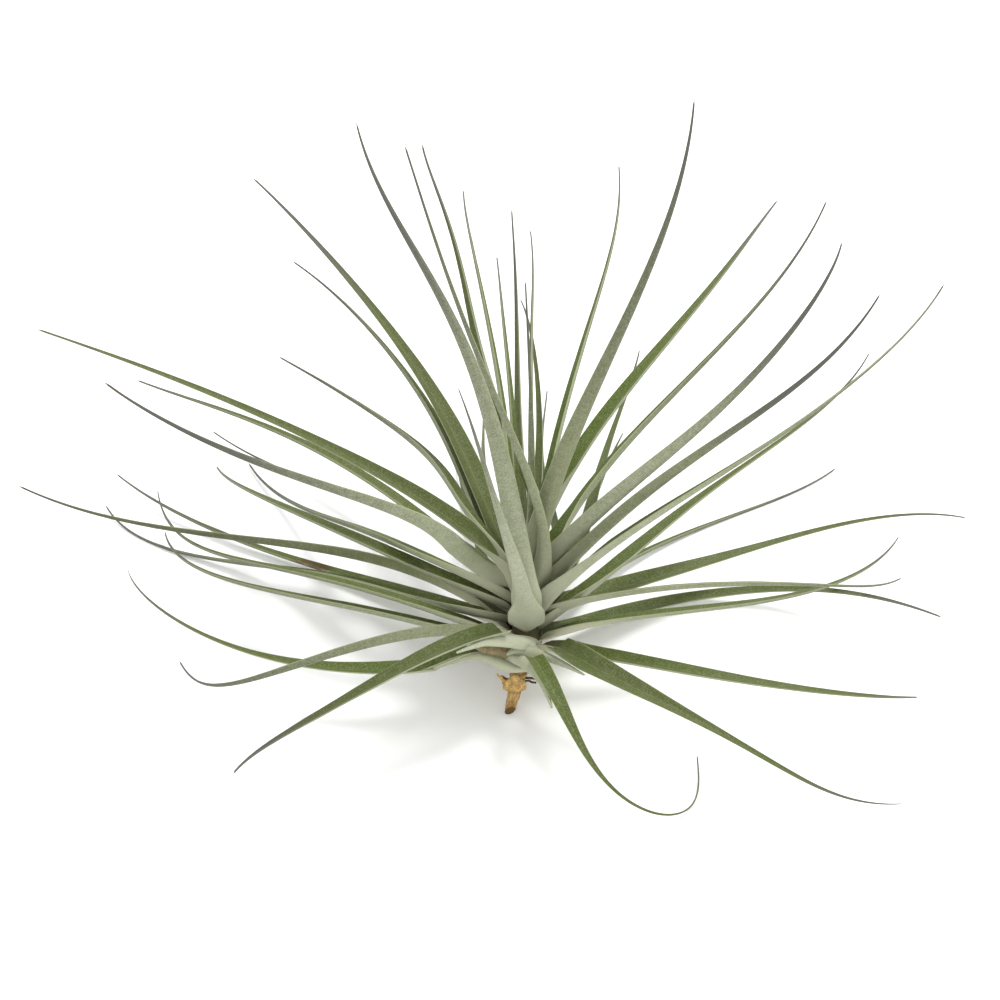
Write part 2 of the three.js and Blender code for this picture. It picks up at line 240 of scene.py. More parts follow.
NO_SCAR, NO_TIP = -1.0, 2.0  # places off a leaf's length, for one without a scar or a grey tip

# ---- the view ----

PICTURE_SIDE = 1000  # pixels
FOCAL_PIXELS = 2200
CROWN_PIXEL = (525, 635)
CAMERA_ELEVATION = 40
CAMERA_DISTANCE = 650  # from the crown
SENSOR = 36  # millimetres
KEY_LIGHT_FROM = Vector((0.42, 0.3, 1.0))  # metres from the crown
KEY_LIGHT_SIZE = 0.35
FLOOR_REACH = 4.0  # metres each way


def linear(red, green, blue):
    """A colour picked on a screen, 0 to 255, as the linear values that sockets hold."""
    shares = [value / 255 for value in (red, green, blue)]
    return [s / 12.92 if s <= 0.04045 else ((s + 0.055) / 1.055) ** 2.4 for s in shares] + [1.0]


def colour_property(name, description, default):
    return FloatVectorProperty(
        name=name, description=description, default=default, subtype="COLOR", size=4, min=0, max=1
    )


def length_property(name, description, default):
    return FloatProperty(
        name=name, description=description, default=default, subtype="DISTANCE", unit="LENGTH", min=0
    )


def share_property(name, description, default):
    return FloatProperty(name=name, description=description, default=default, subtype="FACTOR", min=0, max=1)


# ---- settings ----


class LeafSettings(bpy.types.PropertyGroup):
    stations: IntProperty(
        name="Stations", description="Sections along a leaf", default=96, min=12
    )
    ring_points: IntProperty(
        name="Section points", description="Points round a leaf's section", default=22, min=8
    )
    base_thickness: length_property("Base thickness", "Leaf thickness at the base", 1.2 * MM)
    tip_thickness: length_property("Tip thickness", "Leaf thickness at the tip", 0.5 * MM)
    sheath_share: FloatProperty(
        name="Sheath width", description="Sheath's width over the blade's", default=1.4, min=1
    )
    lead_in: length_property("Lead-in", "How far a leaf grows out from inside the stem", 1.4 * MM)
    channel: share_property("Channel", "Depth of the blade's channel over its width", 0.3)
    sheath_channel: share_property("Sheath hollow", "Depth of the sheath's hollow over its width", 0.3)
    twist: FloatProperty(
        name="Twist", description="Most that a leaf twists towards its tip",
        default=math.radians(10), subtype="ANGLE", unit="ROTATION",
    )
    wave: length_property("Wave", "Height of the waves along a leaf's edges", 0.16 * MM)
    upper: colour_property("Upper side", "Grey-olive of a blade's upper side", linear(80, 87, 48))
    upper_deep: colour_property("Upper side, deep", "Fresh green of an upper side", linear(70, 86, 16))
    # painted shade: the dark olive that an upper side is given deep in the crown, where the leaves crowd
    # together
    inner: colour_property("Inside", "Dark olive of an upper side deep in the crown", linear(60, 62, 26))
    under: colour_property("Underside", "Light green of a blade's underside", linear(116, 122, 84))
    under_far: colour_property("Underside, far", "Grey-green of its outer half", linear(88, 92, 70))
    sheath: colour_property("Sheath", "Pale outside of a sheath", linear(184, 184, 156))
    bloom: colour_property("Bloom", "The silver scales that cover a leaf", linear(176, 180, 158))
    margin: colour_property("Margin", "Thin pale edge of a leaf", linear(158, 162, 124))
    tip: colour_property("Tip", "Grey-purple end of a blade", linear(88, 87, 82))
    dry: colour_property("Dry patch", "Brown of a dry patch and of the very tip", linear(92, 66, 44))


class StemSettings(bpy.types.PropertyGroup):
    ring_points: IntProperty(name="Section points", description="Points round the stem", default=64, min=12)
    ridge: length_property("Ridges", "Height of the fibres along the stub", 0.22 * MM)
    scar: length_property("Scars", "Height of the rings that old leaves left", 0.3 * MM)
    bark: colour_property("Bark", "Golden tan of the dead stub", linear(168, 132, 78))
    bark_light: colour_property("Bark, light", "Pale gold of raised fibres", linear(206, 176, 118))
    bark_dark: colour_property("Bark, dark", "Brown in the stub's creases", linear(96, 68, 30))
    collar: colour_property("Collar", "Olive tan of old leaf bases over the stub", linear(150, 138, 102))
    shade: colour_property("Shade", "Dark olive of the stem between the leaves", linear(64, 62, 36))
    cut: colour_property("Cut", "Dark brown of the stub's cut end", linear(94, 74, 44))


class ScrapSettings(bpy.types.PropertyGroup):
    thickness: length_property("Thickness", "Thickness of a dry sheath", 0.2 * MM)
    crumple: length_property("Crumple", "Height of a dry sheath's creases", 3 * MM)
    spread: FloatProperty(
        name="Spread", description="Dry sheath's width over its plain form's", default=1.7, min=0.5
    )
    flakes: FloatProperty(
        name="Flakes", description="Papery flakes on a square metre", default=1100000, min=0
    )
    fibres: FloatProperty(
        name="Fibres", description="Loose fibres on a square metre", default=500000, min=0
    )
    # partly painted light: the pale gold stands in for highlights on the crumples, and the brown for shade in
    # their creases besides the paper's own streaks
    paper: colour_property("Paper", "Pale gold of a dry sheath", linear(224, 190, 120))
    paper_dark: colour_property("Paper, dark", "Brown streaks of a dry sheath", linear(120, 82, 36))
    old: colour_property("Old sheath", "Tan of a sheath that has died back", linear(160, 148, 114))
    old_dark: colour_property("Old sheath, dark", "Brown streaks of that sheath", linear(96, 76, 46))


class RootSettings(bpy.types.PropertyGroup):
    sides: IntProperty(name="Sides", description="Sides of a root", default=10, min=3)
    kink: length_property("Kink", "How far a root strays from its line", 0.35 * MM)
    bark: colour_property("Root bark", "Dark brown of a dead root", linear(50, 38, 28))
    bark_light: colour_property("Root bark, light", "Worn brown of a dead root", linear(92, 72, 50))


class StageSettings(bpy.types.PropertyGroup):
    floor: colour_property("Floor", "Plain pale floor", (0.93, 0.93, 0.93, 1))
    sky: FloatProperty(name="Sky", description="Strength of the even white light", default=1.25, min=0)
    key: FloatProperty(
        name="Key light", description="Power of the soft light over the plant", default=8,
        unit="POWER", min=0,
    )


# ---- node trees ----


class Wiring:
    """Adds nodes to a node tree, so that a formula can be written as one."""

    def __init__(self, tree):
        self.tree = tree

    def add(self, kind, sockets=None, **settings):
        made = self.tree.nodes.new(kind)
        for name, value in settings.items():
            setattr(made, name, value)
        for name, value in (sockets or {}).items():
            self.plug(value, made.inputs[name])
        return made

    def plug(self, value, socket):
        if isinstance(value, bpy.types.NodeSocket):
            self.tree.links.new(value, socket)
        else:
            socket.default_value = value

    def maths(self, operation, *values, clamp=False):
        made = self.add("ShaderNodeMath", operation=operation, use_clamp=clamp)
        for index, value in enumerate(values):
            self.plug(value, made.inputs[index])
        return made.outputs[0]

    def vector(self, operation, *values):
        made = self.add("ShaderNodeVectorMath", operation=operation)
        for index, value in enumerate(values):
            socket = made.inputs["Scale"] if operation == "SCALE" and index else made.inputs[index]
            self.plug(value, socket)
        return made.outputs[0]

    def split(self, vector):
        return self.add("ShaderNodeSeparateXYZ", {"Vector": vector}).outputs

    def join(self, x, y, z):
        return self.add("ShaderNodeCombineXYZ", {"X": x, "Y": y, "Z": z}).outputs[0]

    def step(self, value, low, high, at_low=0.0, at_high=1.0):
        """A smooth step from at_low to at_high as value goes from low to high."""
        sockets = {"Value": value, "From Min": low, "From Max": high, "To Min": at_low, "To Max": at_high}
        return self.add("ShaderNodeMapRange", sockets, interpolation_type="SMOOTHSTEP").outputs["Result"]

    def blend(self, share, first, second):
        """A colour between two, second where share is 1."""
        made = self.add("ShaderNodeMix", data_type="RGBA", clamp_factor=True)
        for index, value in ((0, share), (6, first), (7, second)):
            self.plug(value, made.inputs[index])
        return made.outputs[2]

    def curve(self, value, points):
        """The height, over value, of the smooth line through points."""
        made = self.add("ShaderNodeFloatCurve", {"Value": value})
        line = made.mapping.curves[0].points
        line[0].location, line[-1].location = points[0], points[-1]
        for point in points[1:-1]:
            line.new(*point)
        made.mapping.update()
        return made.outputs[0]

    def noise(self, vector, scale, detail=2.0, roughness=0.5):
        sockets = {"Vector": vector, "Scale": scale, "Detail": detail, "Roughness": roughness}
        return self.add("ShaderNodeTexNoise", sockets).outputs[0]

    def wander(self, position, scale, amount):
        """A vector that strays by chance, about evenly to all sides, from place to place."""
        sockets = {"Vector": position, "Scale": scale, "Detail": 2.0}
        cloud = self.add("ShaderNodeTexNoise", sockets).outputs["Color"]
        return self.vector("SCALE", self.vector("SUBTRACT", cloud, (0.5, 0.5, 0.5)), amount)

    def carried(self, name, data_type="FLOAT_VECTOR"):
        """A named attribute, as a geometry tree's field."""
        return self.add("GeometryNodeInputNamedAttribute", {"Name": name}, data_type=data_type).outputs[0]

    def sample(self, geometry, value, index, data_type="FLOAT_VECTOR"):
        """A field's value at one point of another geometry."""
        sockets = {"Geometry": geometry, "Value": value, "Index": index}
        return self.add("GeometryNodeSampleIndex", sockets, data_type=data_type).outputs[0]

    def store(self, geometry, name, value, data_type="FLOAT_VECTOR"):
        sockets = {"Geometry": geometry, "Name": name, "Value": value}
        made = self.add("GeometryNodeStoreNamedAttribute", sockets, data_type=data_type, domain="POINT")
        return made.outputs[0]

    def sweep(self, stations, ring_points):
        """A grid with one row for each station. Its mesh, and each point's row and angle round its ring."""
        columns = self.maths("ADD", ring_points, 1)
        sockets = {"Vertices X": self.maths("ADD", stations, 1), "Vertices Y": columns}
        grid = self.add("GeometryNodeMeshGrid", sockets)
        index = self.add("GeometryNodeInputIndex").outputs[0]
        row = self.maths("FLOOR", self.maths("DIVIDE", self.maths("ADD", index, 0.5), columns))
        around = self.maths("SUBTRACT", index, self.maths("MULTIPLY", row, columns))
        angle = self.maths("MULTIPLY", self.maths("DIVIDE", around, ring_points), math.tau)
        return grid.outputs["Mesh"], row, angle

    def turn_faces(self, mesh):
        return self.add("GeometryNodeFlipFaces", {"Mesh": mesh}).outputs[0]

    def finish(self, geometry, material, result, swept=True):
        """Closes the seams, smooths, realizes and gives the material. A sweep's faces are turned out."""
        sockets = {"Geometry": geometry, "Distance": SAME_PLACE}
        closed = self.add("GeometryNodeMergeByDistance", sockets).outputs[0]
        if swept:
            closed = self.turn_faces(closed)
        smooth = self.add("GeometryNodeSetShadeSmooth", {"Geometry": closed})
        real = self.add("GeometryNodeRealizeInstances", {"Geometry": smooth.outputs[0]})
        sockets = {"Geometry": real.outputs[0], "Material": material}
        self.plug(self.add("GeometryNodeSetMaterial", sockets).outputs[0], result)

    def group(self, tree, **sockets):
        made = self.add("ShaderNodeGroup", node_tree=tree)
        for name, value in sockets.items():
            self.plug(value, made.inputs[name.replace("_", " ").capitalize()])
        return made.outputs


def new_tree(name, kind, inputs, outputs):
    """A node tree with named inputs {name: (socket type, default)} and outputs {name: socket type}."""
    tree = bpy.data.node_groups.new(name, kind)
    for title, (socket, default) in inputs.items():
        made = tree.interface.new_socket(title, in_out="INPUT", socket_type=socket)
        if default is not None:
            made.default_value = default
    for title, socket in outputs.items():
        tree.interface.new_socket(title, in_out="OUTPUT", socket_type=socket)
    wiring = Wiring(tree)
    return wiring, wiring.add("NodeGroupInput").outputs, wiring.add("NodeGroupOutput").inputs


def shared_tree(name, maker):
    """A node tree that is built once, and then used by each piece or material."""
    return bpy.data.node_groups.get(name) or maker()


def bake_tree(piece, tree, values):
    """Puts a geometry tree on a piece with these inputs and turns the result into its plain mesh."""
    modifier = piece.modifiers.new(tree.name, "NODES")
    modifier.node_group = tree
    sockets = {item.name: item.identifier for item in tree.interface.items_tree}
    for name, value in values.items():
        modifier[sockets[name]] = value
    bpy.context.view_layer.update()
    shaped = piece.evaluated_get(bpy.context.evaluated_depsgraph_get())
    mesh = bpy.data.meshes.new_from_object(shaped)
    piece.modifiers.clear()
    piece.data = mesh
    mesh.name = piece.name
    if not mesh.polygons:
        raise RuntimeError(f"{piece.name} came out of its node tree with no faces")
    return piece


# ---- the plant's own frame ----


def in_place():
    """From the plant's frame, in millimetres, to the model's, in metres."""
    turned = Matrix.Rotation(-math.radians(LEAN_BACK), 4, "X")
    return Matrix.Translation(CROWN * MM) @ turned @ Matrix.Scale(MM, 4)


def through_four(values, s):
    """The value at s, from 0 to 1, of the smooth curve through four evenly spaced values."""
    a, b, c, d = values
    u = 3 * s
    return (
        a * (1 - u) * (2 - u) * (3 - u) / 6
        + b * u * (2 - u) * (3 - u) / 2
        + c * u * (u - 1) * (3 - u) / 2
        + d * u * (u - 1) * (u - 2) / 6
    )


def on_line(points, at):
    """The value at a place on a line of straight stretches through (place, value) points."""
    if at <= points[0][0]:
        return points[0][1]
    for (x0, y0), (x1, y1) in zip(points, points[1:]):
        if at <= x1:
            return y0 + (y1 - y0) * (at - x0) / (x1 - x0)
    return points[-1][1]


def stem_at(height):
    """The stem's sideways bend and radius at a height."""
    bend = on_line([(h, x) for h, x, _ in STEM], height)
    return bend, on_line([(h, r) for h, _, r in STEM], height)


def heading(turn, lean):
    turn, lean = math.radians(turn), math.radians(lean)
    return Vector((math.sin(lean) * math.cos(turn), math.sin(lean) * math.sin(turn), math.cos(lean)))


def course(length, turns, leans, height, start_radius, steps, lead_in=0.0):
    """The centre, the way across and the way up at each step of a line that grows from the stem.

    The first centre is moved back along the line by lead_in, to a place inside the stem."""
    turn = math.radians(turns[0])
    centre = Vector((start_radius * math.cos(turn), start_radius * math.sin(turn), height))
    across = Vector((-math.sin(turn), math.cos(turn), 0))
    stations = []
    for step in range(steps + 1):
        s = step / steps
        along = heading(through_four(turns, s), through_four(leans, s))
        across = (across - along * across.dot(along)).normalized()
        stations.append((centre.copy(), across.copy(), along.cross(across)))
        middle = s + 0.5 / steps
        centre += heading(through_four(turns, middle), through_four(leans, middle)) * (length / steps)
    inside = heading(turns[0], leans[0]) * lead_in
    stations[0] = (stations[0][0] - inside, *stations[0][1:])
    return stations


def course_on_stub(length, turns, leans, height, gap, steps, lead_in=0.0):
    """The stations of a course that starts a gap off the stub, where that is bent sideways."""
    sideways, radius = stem_at(height)
    aside = Vector((sideways, 0, 0))
    stations = course(length, turns, leans, height, radius + gap, steps, lead_in)
    return [(centre + aside, across, up) for centre, across, up in stations]


def through_points(points, at):
    """The place at a position, counted in points, on the smooth curve through points."""
    first = min(int(at), len(points) - 2)
    t = at - first
    last = len(points) - 1
    before, start, end, after = (points[min(max(first + offset, 0), last)] for offset in (-1, 0, 1, 2))
    bend = before * 2 - start * 5 + end * 4 - after
    return (start * 2 + (end - before) * t + bend * t**2 + (start * 3 - before - end * 3 + after) * t**3) / 2


def facing(turned_up):
    """The way into a sheath from an outside that faces the front, turned up by some degrees."""
    angle = math.radians(turned_up)
    return Vector((0, math.cos(angle), -math.sin(angle)))


def station_at(points, at, inward):
    """The station at a position on the smooth curve through points, with its upper side inward."""
    centre = through_points(points, at)
    along = (through_points(points, at + BIT_OF_LINE) - centre).normalized()
    inward = (inward - along * inward.dot(along)).normalized()
    return centre, inward.cross(along), inward


def ribbon(places, steps):
    """The stations of a sheath through its places, and its width at each."""
    points = [Vector(place[:3]) for place in places]
    sizes = [Vector((place[3], place[4], 0)) for place in places]
    stations, widths = [], []
    for step in range(steps + 1):
        at = step / steps * (len(places) - 1)
        width, turned_up, _ = through_points(sizes, at)
        stations.append(station_at(points, at, facing(turned_up)))
        widths.append(width)
    return stations, widths


def bend_start(stations, share, places):
    """Brings a leaf's first stations through places, up to a share of its length."""
    count = round(share * (len(stations) - 1))
    joint, _, up = stations[count]
    line = [Vector(place) for place in places] + [joint, stations[2 * count][0]]
    bent = []
    for step in range(count):
        t = step / count
        bent.append(station_at(line, t * len(places), facing(BENT_TURN).lerp(up, t)))
    return bent + stations[count:]


def end_behind(stations, share):
    """Draws a leaf's first stations up to the place where its blade comes out from its sheath."""
    count = round(share * (len(stations) - 1))
    joint, across, up = stations[count]
    back = across.cross(up) * BLADE_END
    return [(joint - back * (1 - step / count), across, up) for step in range(count)] + stations[count:]


def leaf_course(index, steps, lead_in):
    """The stations of a leaf's course, with its sections rolled and its first stretch as it shows."""
    length, _, turns, leans, roll = LEAVES[index][:5]
    height = LEAVES_FROM + (LEAVES_TO - LEAVES_FROM) * index / (len(LEAVES) - 1)
    seat = SEAT_GAP + LEAF_BASE_THICKNESS / 2 * math.cos(math.radians(leans[0]))
    stations = course(length, turns, leans, height, stem_at(height)[1] + seat, steps, lead_in)
    rolled = []
    for step, (centre, across, up) in enumerate(stations):
        here = math.radians(roll) * min(1, step / steps / ROLLED_BY)
        cosine, sine = math.cos(here), math.sin(here)
        rolled.append((centre, across * cosine - up * sine, up * cosine + across * sine))
    if index in BLADE_STARTS:
        return end_behind(rolled, BLADE_STARTS[index])
    if index in BENT_STARTS:
        return bend_start(rolled, *BENT_STARTS[index])
    return rolled


def new_piece(name, vertices, edges=(), faces=()):
    mesh = bpy.data.meshes.new(name)
    mesh.from_pydata(vertices, edges, faces)
    piece = bpy.data.objects.new(name, mesh)
    bpy.context.scene.collection.objects.link(piece)
    return piece


def course_piece(name, stations, **shares):
    """A line of points in the model's frame that carries the way across and up at each point.

    Each of the shares is a list with one more number for each point."""
    place = in_place()
    turn = place.to_quaternion()
    vertices = [place @ centre for centre, _, _ in stations]
    edges = [(index, index + 1) for index in range(len(stations) - 1)]
    piece = new_piece(name, vertices, edges)
    for title, column in (("across", 1), ("up", 2)):
        carried = piece.data.attributes.new(title, "FLOAT_VECTOR", "POINT")
        ways = [turn @ station[column] for station in stations]
        carried.data.foreach_set("vector", [value for way in ways for value in way])
    for title, numbers in shares.items():
        piece.data.attributes.new(title, "FLOAT", "POINT").data.foreach_set("value", numbers)
    return piece


def settle(piece, slot, *nodes):
    """Makes a finished piece ride on the plant and stand for its frame nodes; the slot that it is given is
    not used.
    """
    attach(piece, BODY)
    if nodes:
        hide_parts(*nodes)


# ---- leaves ----


def leaf_tree():
    """A channelled, tapering blade with a clasping sheath, along a course."""
    number, whole = "NodeSocketFloat", "NodeSocketInt"
    wiring, given, result = new_tree(
        "leaf blade",
        "GeometryNodeTree",
        {
            "Course": ("NodeSocketGeometry", None),
            "Length": (number, 0.15),
            "Width": (number, 0.007),
            "Sheath Width": (number, 0.009),
            "Base Thickness": (number, 0.001),
            "Tip Thickness": (number, 0.0005),
            "Channel": (number, 0.2),
            "Sheath Hollow": (number, 0.3),
            "Twist": (number, 0.0),
            "Wave": (number, 0.0),
            "Crumple": (number, 0.0),
            "Base Rounding": (number, BASE_ROUNDING),
            "Taper": (number, 0.0),
            "Seed": (number, 0.0),
            "Tone": ("NodeSocketVector", None),
            "Scar": (number, NO_SCAR),
            "Shown From": (number, 0.0),
            "Shown To": (number, 1.0),
            "Stations": (whole, 96),
            "Ring Points": (whole, 22),
            "Material": ("NodeSocketMaterial", None),
        },
        {"Leaf": "NodeSocketGeometry"},
    )
    maths = wiring.maths
    grid, station, angle = wiring.sweep(given["Stations"], given["Ring Points"])
    s = maths("DIVIDE", station, given["Stations"])
    side, face = maths("COSINE", angle), maths("SINE", angle)

    # the section's sizes here
    from_base = maths("MINIMUM", maths("DIVIDE", s, given["Base Rounding"]), 1)
    from_tip = maths("MINIMUM", maths("DIVIDE", maths("SUBTRACT", 1, s), TIP_ROUNDING), 1)
    ends = maths("SQRT", maths("MAXIMUM", maths("MULTIPLY", from_base, from_tip), 0))
    sheath = wiring.curve(s, SHEATH_OUTLINE)
    narrowing = maths("SUBTRACT", 1, maths("MULTIPLY", given["Taper"], wiring.step(s, *TAPER_SPAN)))
    outline = maths("MULTIPLY", narrowing, wiring.curve(s, BLADE_OUTLINE))
    blade_width = maths("MULTIPLY", given["Width"], outline)
    widening = maths("MULTIPLY", maths("SUBTRACT", given["Sheath Width"], given["Width"]), sheath)
    course = given["Course"]
    broad = wiring.sample(course, wiring.carried("broad", "FLOAT"), station, "FLOAT")
    width = maths("MULTIPLY", maths("MULTIPLY", maths("ADD", blade_width, widening), broad), ends)
    thinning = maths("MULTIPLY", maths("SUBTRACT", given["Tip Thickness"], given["Base Thickness"]), s)
    thickness = maths("MULTIPLY", maths("ADD", given["Base Thickness"], thinning), ends)
    deepening = maths("MULTIPLY", maths("SUBTRACT", given["Sheath Hollow"], given["Channel"]), sheath)
    depth = maths("MULTIPLY", maths("ADD", given["Channel"], deepening), width)

    # a point of the section
    folded = maths("POWER", maths("ABSOLUTE", side), FOLD_POWER)
    ripple = wiring.noise(wiring.join(maths("MULTIPLY", s, WAVES_ALONG), side, given["Seed"]), 1.0)
    lift = maths("MULTIPLY", maths("MULTIPLY", maths("SUBTRACT", ripple, 0.5), given["Wave"]), ends)
    x = maths("MULTIPLY", maths("MULTIPLY", width, 0.5), side)
    y = maths("MULTIPLY", maths("ADD", depth, lift), folded)
    creases = wiring.noise(wiring.join(x, maths("MULTIPLY", s, given["Length"]), given["Seed"]), CREASES, 1.0)
    creases = maths("SUBTRACT", maths("ABSOLUTE", maths("SUBTRACT", creases, 0.5)), 0.1)
    y = maths("ADD", y, maths("MULTIPLY", creases, given["Crumple"]))
    y = maths("ADD", y, maths("MULTIPLY", maths("MULTIPLY", thickness, 0.5), face))
    twist = maths("MULTIPLY", given["Twist"], maths("MULTIPLY", s, s))
    cosine, sine = maths("COSINE", twist), maths("SINE", twist)
    out = maths("SUBTRACT", maths("MULTIPLY", x, cosine), maths("MULTIPLY", y, sine))
    rise = maths("ADD", maths("MULTIPLY", x, sine), maths("MULTIPLY", y, cosine))

    centre = wiring.sample(course, wiring.add("GeometryNodeInputPosition").outputs[0], station)
    across = wiring.sample(course, wiring.carried("across"), station)
    up = wiring.sample(course, wiring.carried("up"), station)
    place = wiring.vector("ADD", centre, wiring.vector("SCALE", across, out))
    place = wiring.vector("ADD", place, wiring.vector("SCALE", up, rise))
    leaf = wiring.add("GeometryNodeSetPosition", {"Geometry": grid, "Position": place}).outputs[0]

    # what the material reads: place on the leaf as shares, and in metres, and the leaf's own tone
    shown = maths("MULTIPLY", maths("SUBTRACT", given["Shown To"], given["Shown From"]), s)
    shown = maths("ADD", given["Shown From"], shown)
    leaf = wiring.store(leaf, "leaf_place", wiring.join(side, shown, face))
    distance = maths("MULTIPLY", s, given["Length"])
    apart = maths("ADD", given["Seed"], maths("MULTIPLY", face, 0.002))
    leaf = wiring.store(leaf, "leaf_spot", wiring.join(x, distance, apart))
    leaf = wiring.store(leaf, "leaf_tone", given["Tone"])
    leaf = wiring.store(leaf, "leaf_scar", given["Scar"], "FLOAT")
    wiring.finish(leaf, given["Material"], result["Leaf"])
    return wiring.tree


# ---- shader groups ----


def mottle_group():
    """Soft uneven patches of a given size, from 0 to 1."""
    wiring, given, result = new_tree(
        "mottle",
        "ShaderNodeTree",
        {"Vector": ("NodeSocketVector", None), "Size": ("NodeSocketFloat", 0.01)},
        {"Mask": "NodeSocketFloat"},
    )
    cloud = wiring.noise(given["Vector"], wiring.maths("DIVIDE", 1, given["Size"]), 3.0, 0.55)
    wiring.plug(wiring.step(cloud, 0.32, 0.68), result["Mask"])
    return wiring.tree


def fibre_group():
    """Fine fibres or veins along Y of the vector, a given distance apart, from 0 to 1."""
    wiring, given, result = new_tree(
        "fibres",
        "ShaderNodeTree",
        {
            "Vector": ("NodeSocketVector", None),
            "Spacing": ("NodeSocketFloat", 0.0005),
            "Stretch": ("NodeSocketFloat", 12.0),
        },
        {"Mask": "NodeSocketFloat"},
    )
    x, y, z = wiring.split(given["Vector"])
    drawn = wiring.join(x, wiring.maths("DIVIDE", y, given["Stretch"]), z)
    scale = wiring.maths("DIVIDE", 1, given["Spacing"])
    wiring.plug(wiring.step(wiring.noise(drawn, scale, 2.0, 0.6), 0.3, 0.7), result["Mask"])
    return wiring.tree


def scale_group():
    """The fine silver scales of a leaf: how much of each point they cover, and their height."""
    wiring, given, result = new_tree(
        "silver scales",
        "ShaderNodeTree",
        {
            "Vector": ("NodeSocketVector", None),
            "Size": ("NodeSocketFloat", 0.0003),
            "Cover": ("NodeSocketFloat", 0.5),
        },
        {"Mask": "NodeSocketFloat", "Height": "NodeSocketFloat"},
    )
    maths, cover = wiring.maths, given["Cover"]
    grain = wiring.noise(given["Vector"], maths("DIVIDE", 1, given["Size"]), 2.0, 0.7)
    drifts = wiring.noise(given["Vector"], maths("DIVIDE", 0.16, given["Size"]), 2.0, 0.5)
    spread = maths("MULTIPLY", maths("SUBTRACT", grain, 0.5), 2.9)
    spread = maths("ADD", spread, maths("MULTIPLY", maths("SUBTRACT", drifts, 0.5), 0.5))
    scaled = maths("MULTIPLY", spread, maths("ADD", 0.25, maths("MULTIPLY", cover, 0.5)))
    wiring.plug(maths("ADD", cover, scaled, clamp=True), result["Mask"])
    wiring.plug(maths("MULTIPLY", grain, cover), result["Height"])
    return wiring.tree


def new_material(name):
    material = bpy.data.materials.new(name)
    material.use_nodes = True
    material.node_tree.nodes.clear()
    wiring = Wiring(material.node_tree)
    shader = wiring.add("ShaderNodeBsdfPrincipled")
    wiring.plug(shader.outputs[0], wiring.add("ShaderNodeOutputMaterial").inputs["Surface"])
    return material, wiring, shader.inputs


def bump(wiring, height, distance):
    return wiring.add("ShaderNodeBump", {"Height": height, "Distance": distance}).outputs[0]


